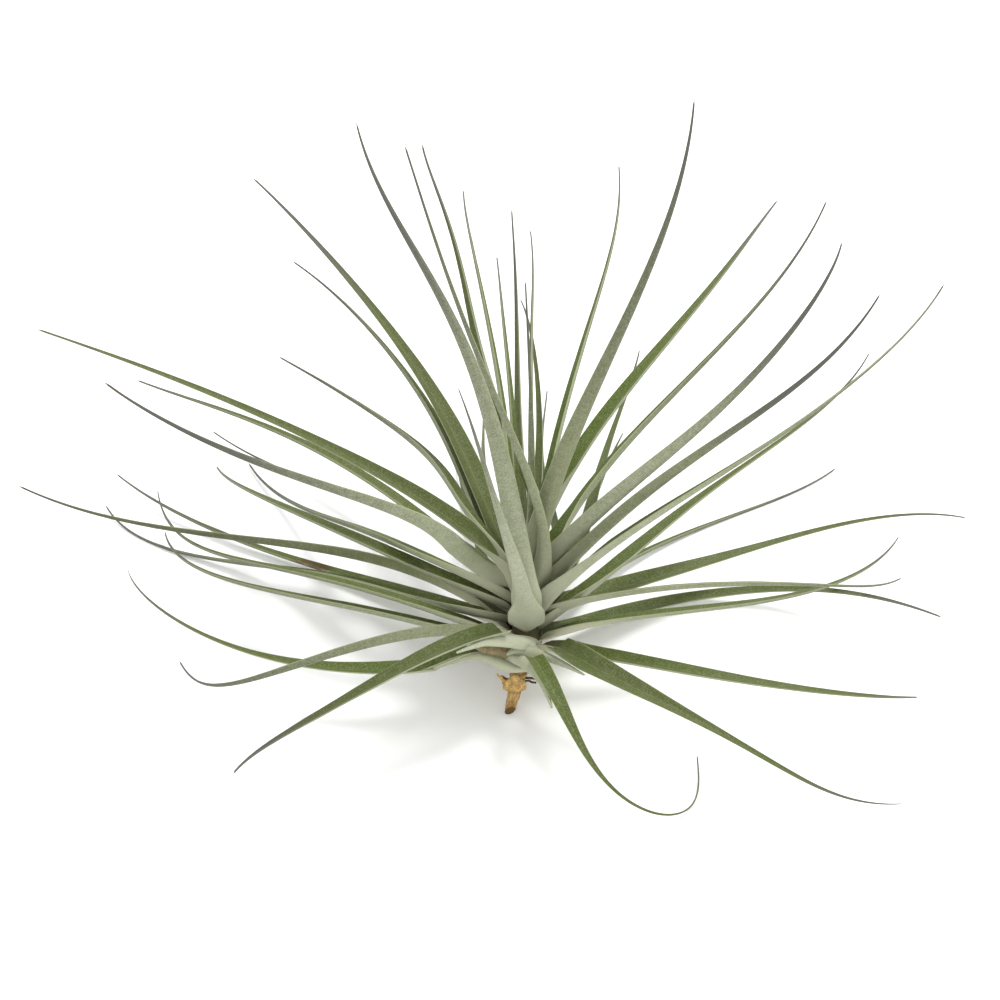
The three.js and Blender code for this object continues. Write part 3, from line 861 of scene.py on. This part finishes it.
def leaf_material(looks):
    """Olive above and silver-green below, with scales, veins, pale margins and a dry grey tip."""
    material, wiring, shader = new_material("leaf skin")
    maths, step, blend = wiring.maths, wiring.step, wiring.blend

    def carried(name):
        return wiring.add("ShaderNodeAttribute", attribute_name=name).outputs

    def centred(mask, strength):
        return maths("MULTIPLY", maths("SUBTRACT", mask, 0.5), strength)

    def mottled(vector, size):
        return wiring.group(shared_tree("mottle", mottle_group), vector=vector, size=size)["Mask"]

    side, s, face = wiring.split(carried("leaf_place")["Vector"])
    spot = carried("leaf_spot")["Vector"]
    green, silver, tip_start = wiring.split(carried("leaf_tone")["Vector"])
    from_middle = maths("ABSOLUTE", side)
    mottle = mottled(spot, 0.007)
    lines = shared_tree("fibres", fibre_group)
    veins = wiring.group(lines, vector=spot, spacing=0.0006, stretch=40.0)["Mask"]
    upper_side = step(face, -0.08, 0.08)

    # the upper side is greener on some leaves and towards the crown, and painted shade darkens it deep inside
    # the crown
    deep = maths("MULTIPLY", green, step(s, 0.25, 0.7, 0.85, 0.3))
    deep = maths("ADD", deep, step(s, 0.05, 0.45, 0.25, 0.0))
    deep = maths("ADD", deep, centred(mottle, 0.16), clamp=True)
    upper = blend(deep, list(looks.upper), list(looks.upper_deep))
    # painted shade: the first stretch of each upper side is darkened towards this olive, deep in the crown
    upper = blend(step(s, 0.02, 0.14, 0.75, 0.0), upper, list(looks.inner))
    upper = blend(maths("MULTIPLY", veins, 0.14), upper, list(looks.upper_deep))
    fold = step(from_middle, 0.01, 0.05, 0.16, 0.0)
    upper = blend(fold, upper, list(looks.margin))

    # the underside is pale where it sheathes the stem, with faint bands of scales across it
    under = blend(step(s, 0.2, 0.7), list(looks.under), list(looks.under_far))
    under = blend(maths("MULTIPLY", mottle, 0.16), under, list(looks.upper))
    under = blend(step(s, 0.04, 0.24, 0.85, 0.0), under, list(looks.sheath))
    under = blend(maths("MULTIPLY", veins, 0.1), under, list(looks.upper))
    skin = blend(upper_side, under, upper)
    x, y, z = wiring.split(spot)
    banded = wiring.join(maths("MULTIPLY", x, 0.3), y, z)
    bands = mottled(banded, 0.0013)
    cover = maths("ADD", maths("MULTIPLY", silver, 0.75), centred(bands, 0.12))
    cover = maths("MULTIPLY", cover, step(s, 0.2, 0.8, 1.0, 0.4))
    cover = maths("MULTIPLY", cover, maths("SUBTRACT", 1, maths("MULTIPLY", upper_side, 0.88)), clamp=True)
    scales = wiring.group(shared_tree("silver scales", scale_group), vector=spot, size=0.00045, cover=cover)
    skin = blend(scales["Mask"], skin, list(looks.bloom))

    # margins, dry ends and patches
    skin = blend(step(from_middle, 0.93, 0.98, 0.0, 0.7), skin, list(looks.margin))
    ragged = maths("ADD", s, centred(mottle, 0.05))
    greying = step(ragged, tip_start, maths("ADD", tip_start, 0.3), 0.0, 0.85)
    skin = blend(greying, skin, list(looks.tip))
    very_tip = step(ragged, 0.975, 1.0, 0.0, 0.5)
    from_scar = maths("ABSOLUTE", maths("SUBTRACT", ragged, carried("leaf_scar")["Fac"]))
    dry = maths("MAXIMUM", very_tip, step(from_scar, 0.01, 0.035, 0.8, 0.0))
    browned = maths("MULTIPLY", step(s, 0.0, 0.07, 0.7, 0.0), maths("SUBTRACT", 1, silver, clamp=True))
    dry = maths("MAXIMUM", dry, browned)
    skin = blend(dry, skin, list(looks.dry))
    wiring.plug(skin, shader["Base Color"])

    rough = maths("ADD", 0.5, maths("MULTIPLY", scales["Mask"], 0.2))
    wiring.plug(maths("ADD", rough, maths("MULTIPLY", mottle, 0.06)), shader["Roughness"])
    relief = maths("ADD", scales["Height"], maths("MULTIPLY", veins, 0.4))
    relief = maths("ADD", relief, maths("MULTIPLY", bands, 0.3))
    wiring.plug(bump(wiring, relief, 0.00005), shader["Normal"])
    shader["Specular IOR Level"].default_value = 0.15
    shader["Sheen Weight"].default_value = 0.03
    shader["Sheen Roughness"].default_value = 0.5
    return material


def leaf_name(index):
    return "leaf_curled" if index == CURLED_LEAF else f"leaf_{index + 1:02d}"


class AIRPLANT_OT_clasps(bpy.types.Operator):
    """Makes the sheaths of the outer leaves, that clasp the stem from the front"""

    bl_idname = "airplant.clasps"
    bl_label = "Clasping sheaths"

    def execute(self, context):
        leaves = context.scene.air_plant_leaves
        scraps = context.scene.air_plant_scraps
        tree = shared_tree("leaf blade", leaf_tree)
        materials = {
            "leaf": leaf_material(leaves),
            "paper": paper_material("old sheath", scraps.old, scraps.old_dark),
        }
        for index, (name, (kind, silver, places)) in enumerate(CLASPS.items()):
            stations, widths = ribbon(places, CLASP_STATIONS)
            outline = [on_line(BLADE_OUTLINE, step / CLASP_STATIONS) for step in range(len(widths))]
            broad = [width / share for width, share in zip(widths, outline)]
            ways = [(after[0] - before[0]).length for before, after in zip(stations, stations[1:])]
            values = {
                "Length": sum(ways) * MM,
                "Width": MM,
                "Sheath Width": MM,
                "Base Thickness": leaves.base_thickness,
                "Tip Thickness": leaves.tip_thickness,
                "Channel": leaves.channel,
                "Sheath Hollow": leaves.sheath_channel,
                "Wave": leaves.wave,
                "Seed": CLASP_SEED + index,
                "Tone": (CLASP_GREEN, silver, NO_TIP),
                "Shown From": CLASP_SHOWN[0],
                "Shown To": CLASP_SHOWN[1],
                "Stations": CLASP_STATIONS,
                "Ring Points": leaves.ring_points,
                "Material": materials[kind],
            }
            piece = bake_tree(course_piece(name, stations, broad=broad), tree, values)
            settle(piece, "leaf" if kind == "leaf" else "dry_sheath")
        return {"FINISHED"}


class AIRPLANT_OT_leaves(bpy.types.Operator):
    """Makes every leaf along its course"""

    bl_idname = "airplant.leaves"
    bl_label = "Leaves"

    def execute(self, context):
        looks = context.scene.air_plant_leaves
        tree = shared_tree("leaf blade", leaf_tree)
        material = leaf_material(looks)
        for index, row in enumerate(LEAVES):
            chance = Random(index)
            length, width = row[0] * MM, row[1] * MM
            stations = leaf_course(index, looks.stations, looks.lead_in / MM)
            name = leaf_name(index)
            piece = course_piece(f"{name}_blade", stations, broad=[1.0] * len(stations))
            sheath = SHEATH_WIDTHS.get(index, row[1] * looks.sheath_share) * MM
            tone = (*row[5:], GREY_FROM.get(index, chance.uniform(0.58, 0.76)))
            values = {
                "Length": length,
                "Width": width,
                "Sheath Width": sheath,
                "Base Thickness": looks.base_thickness,
                "Tip Thickness": looks.tip_thickness,
                "Channel": looks.channel,
                "Sheath Hollow": SHEATH_HOLLOWS.get(index, looks.sheath_channel),
                "Twist": chance.uniform(-1, 1) * looks.twist,
                "Wave": looks.wave,
                "Base Rounding": BLADE_STARTS.get(index, BASE_ROUNDINGS.get(index, BASE_ROUNDING)),
                "Taper": TAPERS.get(index, 0.0),
                "Seed": float(index),
                "Tone": tone,
                "Scar": SCARS.get(index, NO_SCAR),
                "Stations": looks.stations,
                "Ring Points": looks.ring_points,
                "Material": material,
            }
            settle(bake_tree(piece, tree, values), "leaf", name)
        return {"FINISHED"}


# ---- stem ----


def stem_tree():
    """A bent stem with fibres, leaf scars and a slanting cut, along a course."""
    number, whole = "NodeSocketFloat", "NodeSocketInt"
    wiring, given, result = new_tree(
        "woody stem",
        "GeometryNodeTree",
        {
            "Course": ("NodeSocketGeometry", None),
            "Stations": (whole, 60),
            "Ring Points": (whole, 64),
            "Ridge": (number, 0.0002),
            "Scar": (number, 0.0003),
            "Slope Right": (number, 0.3),
            "Slope Front": (number, 0.8),
            "Material": ("NodeSocketMaterial", None),
        },
        {"Stem": "NodeSocketGeometry"},
    )
    maths, vector = wiring.maths, wiring.vector
    grid, station, angle = wiring.sweep(given["Stations"], given["Ring Points"])

    def here(name, data_type="FLOAT"):
        return wiring.sample(given["Course"], wiring.carried(name, data_type), station, data_type)

    radius, height, cut, bare, end = (here(name) for name in ("radius", "height", "cut", "bare", "end"))
    cosine, sine = maths("COSINE", angle), maths("SINE", angle)

    # fibres run up the stem and wander, and scars ring it at uneven heights
    skew = maths("MULTIPLY", height, 60)
    spot = wiring.join(maths("ADD", cosine, skew), sine, maths("MULTIPLY", height, 110))
    fibres = wiring.noise(spot, 3.4, 3.0)
    lean = maths("MULTIPLY", maths("ADD", cosine, maths("MULTIPLY", sine, 0.6)), 0.35)
    spot = wiring.join(lean, maths("MULTIPLY", sine, 0.3), maths("MULTIPLY", height, 900))
    rings = wiring.noise(spot, 1.0, 3.0)
    rough = maths("MULTIPLY", maths("SUBTRACT", fibres, 0.5), given["Ridge"])
    rough = maths("ADD", rough, maths("MULTIPLY", maths("SUBTRACT", rings, 0.5), given["Scar"]))
    reach = maths("ADD", radius, maths("MULTIPLY", maths("MULTIPLY", rough, 2), bare))
    x, y = maths("MULTIPLY", reach, cosine), maths("MULTIPLY", reach, sine)

    # the cut rises to the right and to the front
    full = here("full")
    to_right = maths("MULTIPLY", maths("ADD", x, full), given["Slope Right"])
    to_front = maths("MULTIPLY", maths("SUBTRACT", full, y), given["Slope Front"])
    shift = maths("MULTIPLY", maths("ADD", to_right, to_front), cut)
    across, up = here("across", "FLOAT_VECTOR"), here("up", "FLOAT_VECTOR")
    centre = wiring.add("GeometryNodeInputPosition").outputs[0]
    place = wiring.sample(given["Course"], centre, station)
    for way, amount in ((across, x), (up, y), (vector("CROSS_PRODUCT", across, up), shift)):
        place = vector("ADD", place, vector("SCALE", way, amount))
    stem = wiring.add("GeometryNodeSetPosition", {"Geometry": grid, "Position": place}).outputs[0]
    stem = wiring.store(stem, "stem_place", wiring.join(x, y, maths("ADD", height, shift)))
    stem = wiring.store(stem, "stem_relief", wiring.join(fibres, rings, end))
    wiring.finish(stem, given["Material"], result["Stem"])
    return wiring.tree


def bark_material(looks):
    """Golden papery bark with brown creases, an olive collar above it and a dark cut end."""
    material, wiring, shader = new_material("bark")
    maths, step, blend = wiring.maths, wiring.step, wiring.blend
    place = wiring.add("ShaderNodeAttribute", attribute_name="stem_place").outputs["Vector"]
    relief = wiring.add("ShaderNodeAttribute", attribute_name="stem_relief").outputs["Vector"]
    fibres, rings, end = wiring.split(relief)
    x, y, height = wiring.split(place)
    mottle = wiring.group(shared_tree("mottle", mottle_group), vector=place, size=0.0022)["Mask"]
    along = wiring.join(x, height, y)
    lines = shared_tree("fibres", fibre_group)
    grain = wiring.group(lines, vector=along, spacing=0.00025, stretch=8.0)["Mask"]
    light = maths("ADD", step(fibres, 0.35, 0.65), maths("MULTIPLY", maths("SUBTRACT", mottle, 0.5), 0.6))
    skin = blend(maths("MULTIPLY", light, 0.75), list(looks.bark), list(looks.bark_light))
    creases = step(rings, 0.36, 0.5, 0.85, 0.0)
    skin = blend(creases, skin, list(looks.bark_dark))
    skin = blend(maths("MULTIPLY", grain, 0.35), skin, list(looks.bark_dark))
    ragged = maths("ADD", height, maths("MULTIPLY", maths("SUBTRACT", mottle, 0.5), 0.002))
    skin = blend(step(ragged, -0.0105, -0.008, 0.0, 0.85), skin, list(looks.collar))
    skin = blend(step(ragged, -0.006, -0.003, 0.0, 0.9), skin, list(looks.shade))
    # darker towards the stub's lower end
    skin = blend(step(ragged, -0.0235, -0.0195, 0.45, 0.0), skin, list(looks.bark_dark))
    pith = wiring.noise(place, 2600.0, 3.0, 0.7)
    face = blend(step(pith, 0.4, 0.7), list(looks.cut), list(looks.bark_dark))
    skin = blend(step(end, 0.3, 0.9), skin, face)
    wiring.plug(skin, shader["Base Color"])
    wiring.plug(maths("ADD", 0.62, maths("MULTIPLY", grain, 0.2)), shader["Roughness"])
    height_map = maths("ADD", grain, maths("MULTIPLY", pith, 0.5))
    wiring.plug(bump(wiring, height_map, 0.00008), shader["Normal"])
    shader["Specular IOR Level"].default_value = 0.2
    return material


class AIRPLANT_OT_stem(bpy.types.Operator):
    """Makes the stem with its dead stub"""

    bl_idname = "airplant.stem"
    bl_label = "Stem"

    def execute(self, context):
        looks = context.scene.air_plant_stem
        bottom, top = STEM[0][0], STEM[-1][0]
        # height, share of the full radius, how much of the cut's slope, whether bare bark, whether cut face
        rows = [(bottom, share, 1.0, 0.0, 1.0) for share in STUB_CUT_RINGS]
        rows.append((bottom + STUB_EDGE, 1.0, 1.0, 0.3, 0.0))
        height = bottom + STUB_STEP
        while height < top:
            cut = max(0, 1 - (height - bottom) / STUB_CUT_REACH)
            rows.append((height, 1.0, cut, 1.0, 0.0))
            height += STUB_STEP if height < LEAVES_FROM else HIDDEN_STEP
        rows += [(top, 1.0, 0.0, 0.0, 0.0), (top, 0.0, 0.0, 0.0, 0.0)]
        right, back = Vector((1, 0, 0)), Vector((0, 1, 0))
        stations = [(Vector((stem_at(row[0])[0], 0, row[0])), right, back) for row in rows]
        radii = [stem_at(row[0])[1] * MM for row in rows]
        piece = course_piece(
            "stem_bark",
            stations,
            radius=[radius * row[1] for radius, row in zip(radii, rows)],
            full=radii,
            height=[row[0] * MM for row in rows],
            cut=[row[2] for row in rows],
            bare=[row[3] for row in rows],
            end=[row[4] for row in rows],
        )
        values = {
            "Stations": len(rows) - 1,
            "Ring Points": looks.ring_points,
            "Ridge": looks.ridge,
            "Scar": looks.scar,
            "Slope Right": STUB_CUT_SLOPE[0],
            "Slope Front": STUB_CUT_SLOPE[1],
            "Material": bark_material(looks),
        }
        settle(bake_tree(piece, shared_tree("woody stem", stem_tree), values), "stem", "stem")
        return {"FINISHED"}


# ---- dry sheaths, flakes and fibres ----


def paper_material(name, light, dark):
    """Crumpled paper of a light colour, with mottle and streaks of a dark one. On the dry sheaths these are
    partly the paper's own brown and partly painted highlights on its crumples and painted shade in its
    creases.
    """
    material, wiring, shader = new_material(name)
    maths, blend = wiring.maths, wiring.blend
    place = wiring.add("ShaderNodeTexCoord").outputs["Object"]
    mottle = wiring.group(shared_tree("mottle", mottle_group), vector=place, size=0.0016)["Mask"]
    lines = shared_tree("fibres", fibre_group)
    streaks = wiring.group(lines, vector=place, spacing=0.0003, stretch=6.0)["Mask"]
    # the dark mottle and streaks: partly the paper's own brown, partly painted shade in creases between
    # painted highlights
    skin = blend(maths("MULTIPLY", mottle, 0.5), list(light), list(dark))
    skin = blend(maths("MULTIPLY", streaks, 0.5), skin, list(dark))
    wiring.plug(skin, shader["Base Color"])
    wiring.plug(maths("ADD", 0.5, maths("MULTIPLY", streaks, 0.25)), shader["Roughness"])
    wiring.plug(bump(wiring, maths("ADD", streaks, mottle), 0.00006), shader["Normal"])
    shader["Specular IOR Level"].default_value = 0.3
    return material


def flake_tree():
    """Curled flakes or fibres between two heights of the stem, most of each inside its surface."""
    number = "NodeSocketFloat"
    wiring, given, result = new_tree(
        "loose flakes",
        "GeometryNodeTree",
        {
            "Surface": ("NodeSocketGeometry", None),
            "Density": (number, 700000.0),
            "Low": (number, -0.017),
            "High": (number, -0.012),
            "Width": (number, 0.001),
            "Length": (number, 0.002),
            "Thickness": (number, 0.0001),
            "Lift": (number, 0.6),
            "Wander": (number, 0.0004),
            "Seed": ("NodeSocketInt", 1),
            "Axis": ("NodeSocketVector", None),
            "Material": ("NodeSocketMaterial", None),
        },
        {"Flakes": "NodeSocketGeometry"},
    )
    maths = wiring.maths
    height = wiring.split(wiring.carried("stem_place"))[2]
    above = maths("GREATER_THAN", height, given["Low"])
    within = maths("MULTIPLY", above, maths("LESS_THAN", height, given["High"]))
    # the flakes lean in from the bark, so they are spread over it with its faces turned in
    sockets = {
        "Mesh": wiring.turn_faces(given["Surface"]),
        "Selection": within,
        "Density": given["Density"],
        "Seed": given["Seed"],
    }
    points = wiring.add("GeometryNodeDistributePointsOnFaces", sockets)

    # one flake, a thin bent box that narrows away from its root
    box = wiring.add("GeometryNodeMeshCube", {"Size": (1, 1, 1), "Vertices X": 4, "Vertices Y": 7})
    x, y, z = wiring.split(wiring.add("GeometryNodeInputPosition").outputs[0])
    along = maths("ADD", y, 0.5)
    squared = maths("MULTIPLY", along, along)
    narrow = maths("SUBTRACT", 1, maths("MULTIPLY", squared, 0.8))
    cupping = maths("MULTIPLY", maths("MULTIPLY", x, x), given["Width"])
    curling = maths("MULTIPLY", squared, maths("MULTIPLY", given["Length"], -0.35))
    bend = maths("ADD", cupping, curling)
    shape = wiring.join(
        maths("MULTIPLY", maths("MULTIPLY", x, narrow), given["Width"]),
        maths("MULTIPLY", along, given["Length"]),
        maths("ADD", maths("MULTIPLY", z, given["Thickness"]), bend),
    )
    sockets = {"Geometry": box.outputs["Mesh"], "Position": shape}
    flake = wiring.add("GeometryNodeSetPosition", sockets).outputs[0]

    # it starts on the surface, points up the stem and is tilted into it by chance
    rotation = wiring.add("FunctionNodeAlignRotationToVector", {"Vector": points.outputs["Normal"]}, axis="Z")
    sockets = {"Rotation": rotation.outputs[0], "Vector": given["Axis"]}
    rotation = wiring.add("FunctionNodeAlignRotationToVector", sockets, axis="Y", pivot_axis="Z").outputs[0]
    low = wiring.join(maths("MULTIPLY", given["Lift"], 0.3), -0.5, -0.9)
    high = wiring.join(given["Lift"], 0.5, 0.9)
    sockets = {0: low, 1: high, "Seed": given["Seed"]}
    tilt = wiring.add("FunctionNodeRandomValue", sockets, data_type="FLOAT_VECTOR").outputs[0]
    tilt = wiring.add("FunctionNodeEulerToRotation", {"Euler": tilt}).outputs[0]
    sockets = {"Rotation": rotation, "Rotate By": tilt}
    rotation = wiring.add("FunctionNodeRotateRotation", sockets, rotation_space="LOCAL").outputs[0]
    sockets = {0: (0.5, 0.5, 1), 1: (1.2, 1.3, 1), "Seed": given["Seed"]}
    scale = wiring.add("FunctionNodeRandomValue", sockets, data_type="FLOAT_VECTOR").outputs[0]
    sockets = {"Points": points.outputs["Points"], "Instance": flake, "Rotation": rotation, "Scale": scale}
    placed = wiring.add("GeometryNodeInstanceOnPoints", sockets)
    real = wiring.add("GeometryNodeRealizeInstances", {"Geometry": placed.outputs[0]}).outputs[0]
    position = wiring.add("GeometryNodeInputPosition").outputs[0]
    stray = wiring.wander(position, 800.0, given["Wander"])
    bent = wiring.add("GeometryNodeSetPosition", {"Geometry": real, "Offset": stray}).outputs[0]
    sockets = {"Geometry": wiring.add("GeometryNodeRealizeInstances", {"Geometry": bent}).outputs[0]}
    sockets["Material"] = given["Material"]
    wiring.plug(wiring.add("GeometryNodeSetMaterial", sockets).outputs[0], result["Flakes"])
    return wiring.tree


class AIRPLANT_OT_scraps(bpy.types.Operator):
    """Makes the dry sheaths that clasp the stub, with the flakes and fibres round them"""

    bl_idname = "airplant.scraps"
    bl_label = "Dry sheaths and flakes"

    def execute(self, context):
        looks = context.scene.air_plant_scraps
        stem = bpy.data.objects.get("stem_bark")
        if stem is None:
            raise RuntimeError("make the stem first: the flakes grow on it")
        material = paper_material("dry paper", looks.paper, looks.paper_dark)
        tree = shared_tree("leaf blade", leaf_tree)
        for index, (length, width, turns, leans, height) in enumerate(DRY_SHEATHS):
            spread = [turns[0] + (turns[1] - turns[0]) * share / 3 for share in range(4)]
            flare = [leans[0] + (leans[1] - leans[0]) * share / 3 for share in range(4)]
            length *= SCRAP_REACH
            gap = DRY_SHEATH_THICKNESS / 2 + SEAT_GAP
            stations = course_on_stub(length, spread, flare, height, gap, SCRAP_STATIONS)
            name = f"dry_sheath_{index + 1}"
            values = {
                "Length": length * MM,
                "Width": width * looks.spread * MM,
                "Sheath Width": width * looks.spread * MM,
                "Base Thickness": looks.thickness,
                "Tip Thickness": looks.thickness,
                "Channel": SCRAP_CHANNEL,
                "Sheath Hollow": SCRAP_CHANNEL,
                "Crumple": looks.crumple,
                "Seed": SCRAP_SEED + index,
                "Stations": SCRAP_STATIONS,
                "Ring Points": SCRAP_RING_POINTS,
                "Material": material,
            }
            piece = course_piece(f"{name}_paper", stations, broad=[1.0] * len(stations))
            settle(bake_tree(piece, tree, values), "dry_sheath", name)
        tree = shared_tree("loose flakes", flake_tree)
        axis = in_place().to_quaternion() @ Vector((0, 0, 1))
        densities = {"stub_flakes": looks.flakes, "stub_fibres": looks.fibres}
        for name, (low, high, width, seed) in LOOSE_BITS.items():
            piece = bpy.data.objects.new(name, stem.data.copy())
            context.scene.collection.objects.link(piece)
            values = {
                "Density": densities[name],
                "Low": low * MM,
                "High": high * MM,
                "Width": width * MM,
                "Length": BIT_LENGTH * MM,
                "Thickness": BIT_THICKNESS * MM,
                "Lift": BIT_LIFT,
                "Wander": BIT_WANDER * MM,
                "Seed": seed,
                "Axis": axis,
                "Material": material,
            }
            settle(bake_tree(piece, tree, values), "dry_sheath")
        return {"FINISHED"}


# ---- roots ----


def root_tree():
    """A thin tapering wire that strays from its course."""
    number = "NodeSocketFloat"
    wiring, given, result = new_tree(
        "wiry root",
        "GeometryNodeTree",
        {
            "Course": ("NodeSocketGeometry", None),
            "Thickness": (number, 0.0006),
            "Sides": ("NodeSocketInt", 10),
            "Kink": (number, 0.0003),
            "Seed": (number, 0.0),
            "Material": ("NodeSocketMaterial", None),
        },
        {"Root": "NodeSocketGeometry"},
    )
    maths, vector = wiring.maths, wiring.vector
    line = wiring.add("GeometryNodeMeshToCurve", {"Mesh": given["Course"]}).outputs[0]
    factor = wiring.add("GeometryNodeSplineParameter").outputs["Factor"]
    position = wiring.add("GeometryNodeInputPosition").outputs[0]
    moved = vector("ADD", position, wiring.join(given["Seed"], 0.0, 0.0))
    amount = maths("MULTIPLY", given["Kink"], maths("MULTIPLY", factor, 4))
    stray = wiring.wander(moved, 700.0, amount)
    line = wiring.add("GeometryNodeSetPosition", {"Geometry": line, "Offset": stray}).outputs[0]
    taper = maths("SUBTRACT", 1, maths("MULTIPLY", factor, 0.6))
    line = wiring.add("GeometryNodeSetCurveRadius", {"Curve": line, "Radius": taper}).outputs[0]
    sockets = {"Resolution": given["Sides"], "Radius": maths("MULTIPLY", given["Thickness"], 0.5)}
    ring = wiring.add("GeometryNodeCurvePrimitiveCircle", sockets).outputs[0]
    sockets = {"Curve": line, "Profile Curve": ring, "Fill Caps": True}
    root = wiring.add("GeometryNodeCurveToMesh", sockets).outputs[0]
    wiring.finish(root, given["Material"], result["Root"], swept=False)
    return wiring.tree


def root_material(looks):
    """Dark wiry bark, worn lighter in places."""
    material, wiring, shader = new_material("root bark")
    place = wiring.add("ShaderNodeTexCoord").outputs["Object"]
    worn = wiring.group(shared_tree("mottle", mottle_group), vector=place, size=0.0007)["Mask"]
    wiring.plug(wiring.blend(worn, list(looks.bark), list(looks.bark_light)), shader["Base Color"])
    wiring.plug(wiring.maths("ADD", 0.6, wiring.maths("MULTIPLY", worn, 0.2)), shader["Roughness"])
    wiring.plug(bump(wiring, worn, 0.00005), shader["Normal"])
    shader["Specular IOR Level"].default_value = 0.3
    return material


class AIRPLANT_OT_roots(bpy.types.Operator):
    """Makes the wiry root ends beside the stub"""

    bl_idname = "airplant.roots"
    bl_label = "Roots"

    def execute(self, context):
        looks = context.scene.air_plant_roots
        material = root_material(looks)
        tree = shared_tree("wiry root", root_tree)
        for index, (length, thickness, turns, leans, height) in enumerate(ROOTS):
            stations = course_on_stub(length, turns, leans, height, SEAT_GAP, ROOT_STATIONS, ROOT_LEAD_IN)
            name = f"root_{index + 1}"
            values = {
                "Thickness": thickness * MM,
                "Sides": looks.sides,
                "Kink": looks.kink,
                "Seed": float(index),
                "Material": material,
            }
            settle(bake_tree(course_piece(f"{name}_wire", stations), tree, values), "root", name)
        return {"FINISHED"}


# ---- stage ----


class AIRPLANT_OT_stage(bpy.types.Operator):
    """Makes the floor, the lights and the camera"""

    bl_idname = "airplant.stage"
    bl_label = "Stage"

    def execute(self, context):
        looks = context.scene.air_plant_stage
        corners = [(x * FLOOR_REACH, y * FLOOR_REACH, 0) for x, y in ((-1, -1), (1, -1), (1, 1), (-1, 1))]
        floor = new_piece("floor", corners, faces=[(0, 1, 2, 3)])
        material, _, shader = new_material("floor")
        shader["Base Color"].default_value = looks.floor
        shader["Roughness"].default_value = 0.9
        shader["Specular IOR Level"].default_value = 0.1
        floor.data.materials.append(material)

        world = bpy.data.worlds.new("even light")
        world.use_nodes = True
        background = world.node_tree.nodes["Background"].inputs
        background["Color"].default_value = (1, 1, 1, 1)
        background["Strength"].default_value = looks.sky
        context.scene.world = world
        context.scene.view_settings.view_transform = "Standard"

        middle = CROWN * MM
        self.light("key", middle + KEY_LIGHT_FROM, middle, KEY_LIGHT_SIZE, looks.key)
        self.camera(context)
        return {"FINISHED"}

    def light(self, name, place, target, size, power):
        data = bpy.data.lights.new(name, "AREA")
        data.shape = "DISK"
        data.size = size
        data.energy = power
        lamp = bpy.data.objects.new(name, data)
        lamp.location = place
        lamp.rotation_euler = (target - place).to_track_quat("-Z", "Y").to_euler()
        bpy.context.scene.collection.objects.link(lamp)

    def camera(self, context):
        """Stands the camera where the crown falls on its pixel."""
        tilt = math.radians(CAMERA_ELEVATION)
        ahead = Vector((0, math.cos(tilt), -math.sin(tilt)))
        right = Vector((1, 0, 0))
        up = Vector((0, math.sin(tilt), math.cos(tilt)))
        per_pixel = CAMERA_DISTANCE / FOCAL_PIXELS
        aside = (CROWN_PIXEL[0] - PICTURE_SIDE / 2) * per_pixel
        below = (CROWN_PIXEL[1] - PICTURE_SIDE / 2) * per_pixel
        data = bpy.data.cameras.new("camera")
        data.sensor_width = SENSOR
        data.lens = SENSOR * FOCAL_PIXELS / PICTURE_SIDE
        camera = bpy.data.objects.new("camera", data)
        camera.location = (CROWN - ahead * CAMERA_DISTANCE - right * aside + up * below) * MM
        camera.rotation_euler = (math.pi / 2 - tilt, 0, 0)
        context.scene.collection.objects.link(camera)
        context.scene.camera = camera


class AIRPLANT_PT_panel(bpy.types.Panel):
    """Lists the operators and, under them, the settings that they use"""

    bl_idname = "AIRPLANT_PT_panel"
    bl_label = "Air plant"
    bl_space_type = "VIEW_3D"
    bl_region_type = "UI"
    bl_category = "Air plant"

    def draw(self, context):
        for settings in SETTINGS:
            box = self.layout.box()
            for operator, used in STEPS:
                if used == settings:
                    box.operator(operator.bl_idname)
            group = getattr(context.scene, settings)
            for name in group.__annotations__:
                box.prop(group, name)


STEPS = [
    (AIRPLANT_OT_leaves, "air_plant_leaves"),
    (AIRPLANT_OT_clasps, "air_plant_leaves"),
    (AIRPLANT_OT_stem, "air_plant_stem"),
    (AIRPLANT_OT_scraps, "air_plant_scraps"),
    (AIRPLANT_OT_roots, "air_plant_roots"),
    (AIRPLANT_OT_stage, "air_plant_stage"),
]
SETTINGS = {
    "air_plant_leaves": LeafSettings,
    "air_plant_stem": StemSettings,
    "air_plant_scraps": ScrapSettings,
    "air_plant_roots": RootSettings,
    "air_plant_stage": StageSettings,
}


def register():
    for name, settings in SETTINGS.items():
        bpy.utils.register_class(settings)
        setattr(bpy.types.Scene, name, PointerProperty(type=settings))
    for operator, _ in STEPS:
        bpy.utils.register_class(operator)
    bpy.utils.register_class(AIRPLANT_PT_panel)


def unregister():
    bpy.utils.unregister_class(AIRPLANT_PT_panel)
    for operator, _ in reversed(STEPS):
        bpy.utils.unregister_class(operator)
    for name, settings in SETTINGS.items():
        delattr(bpy.types.Scene, name)
        bpy.utils.unregister_class(settings)


def main():
    register()
    for operator, _ in STEPS:
        group, name = operator.bl_idname.split(".")
        getattr(getattr(bpy.ops, group), name)()


if __name__ == "__main__":
    main()
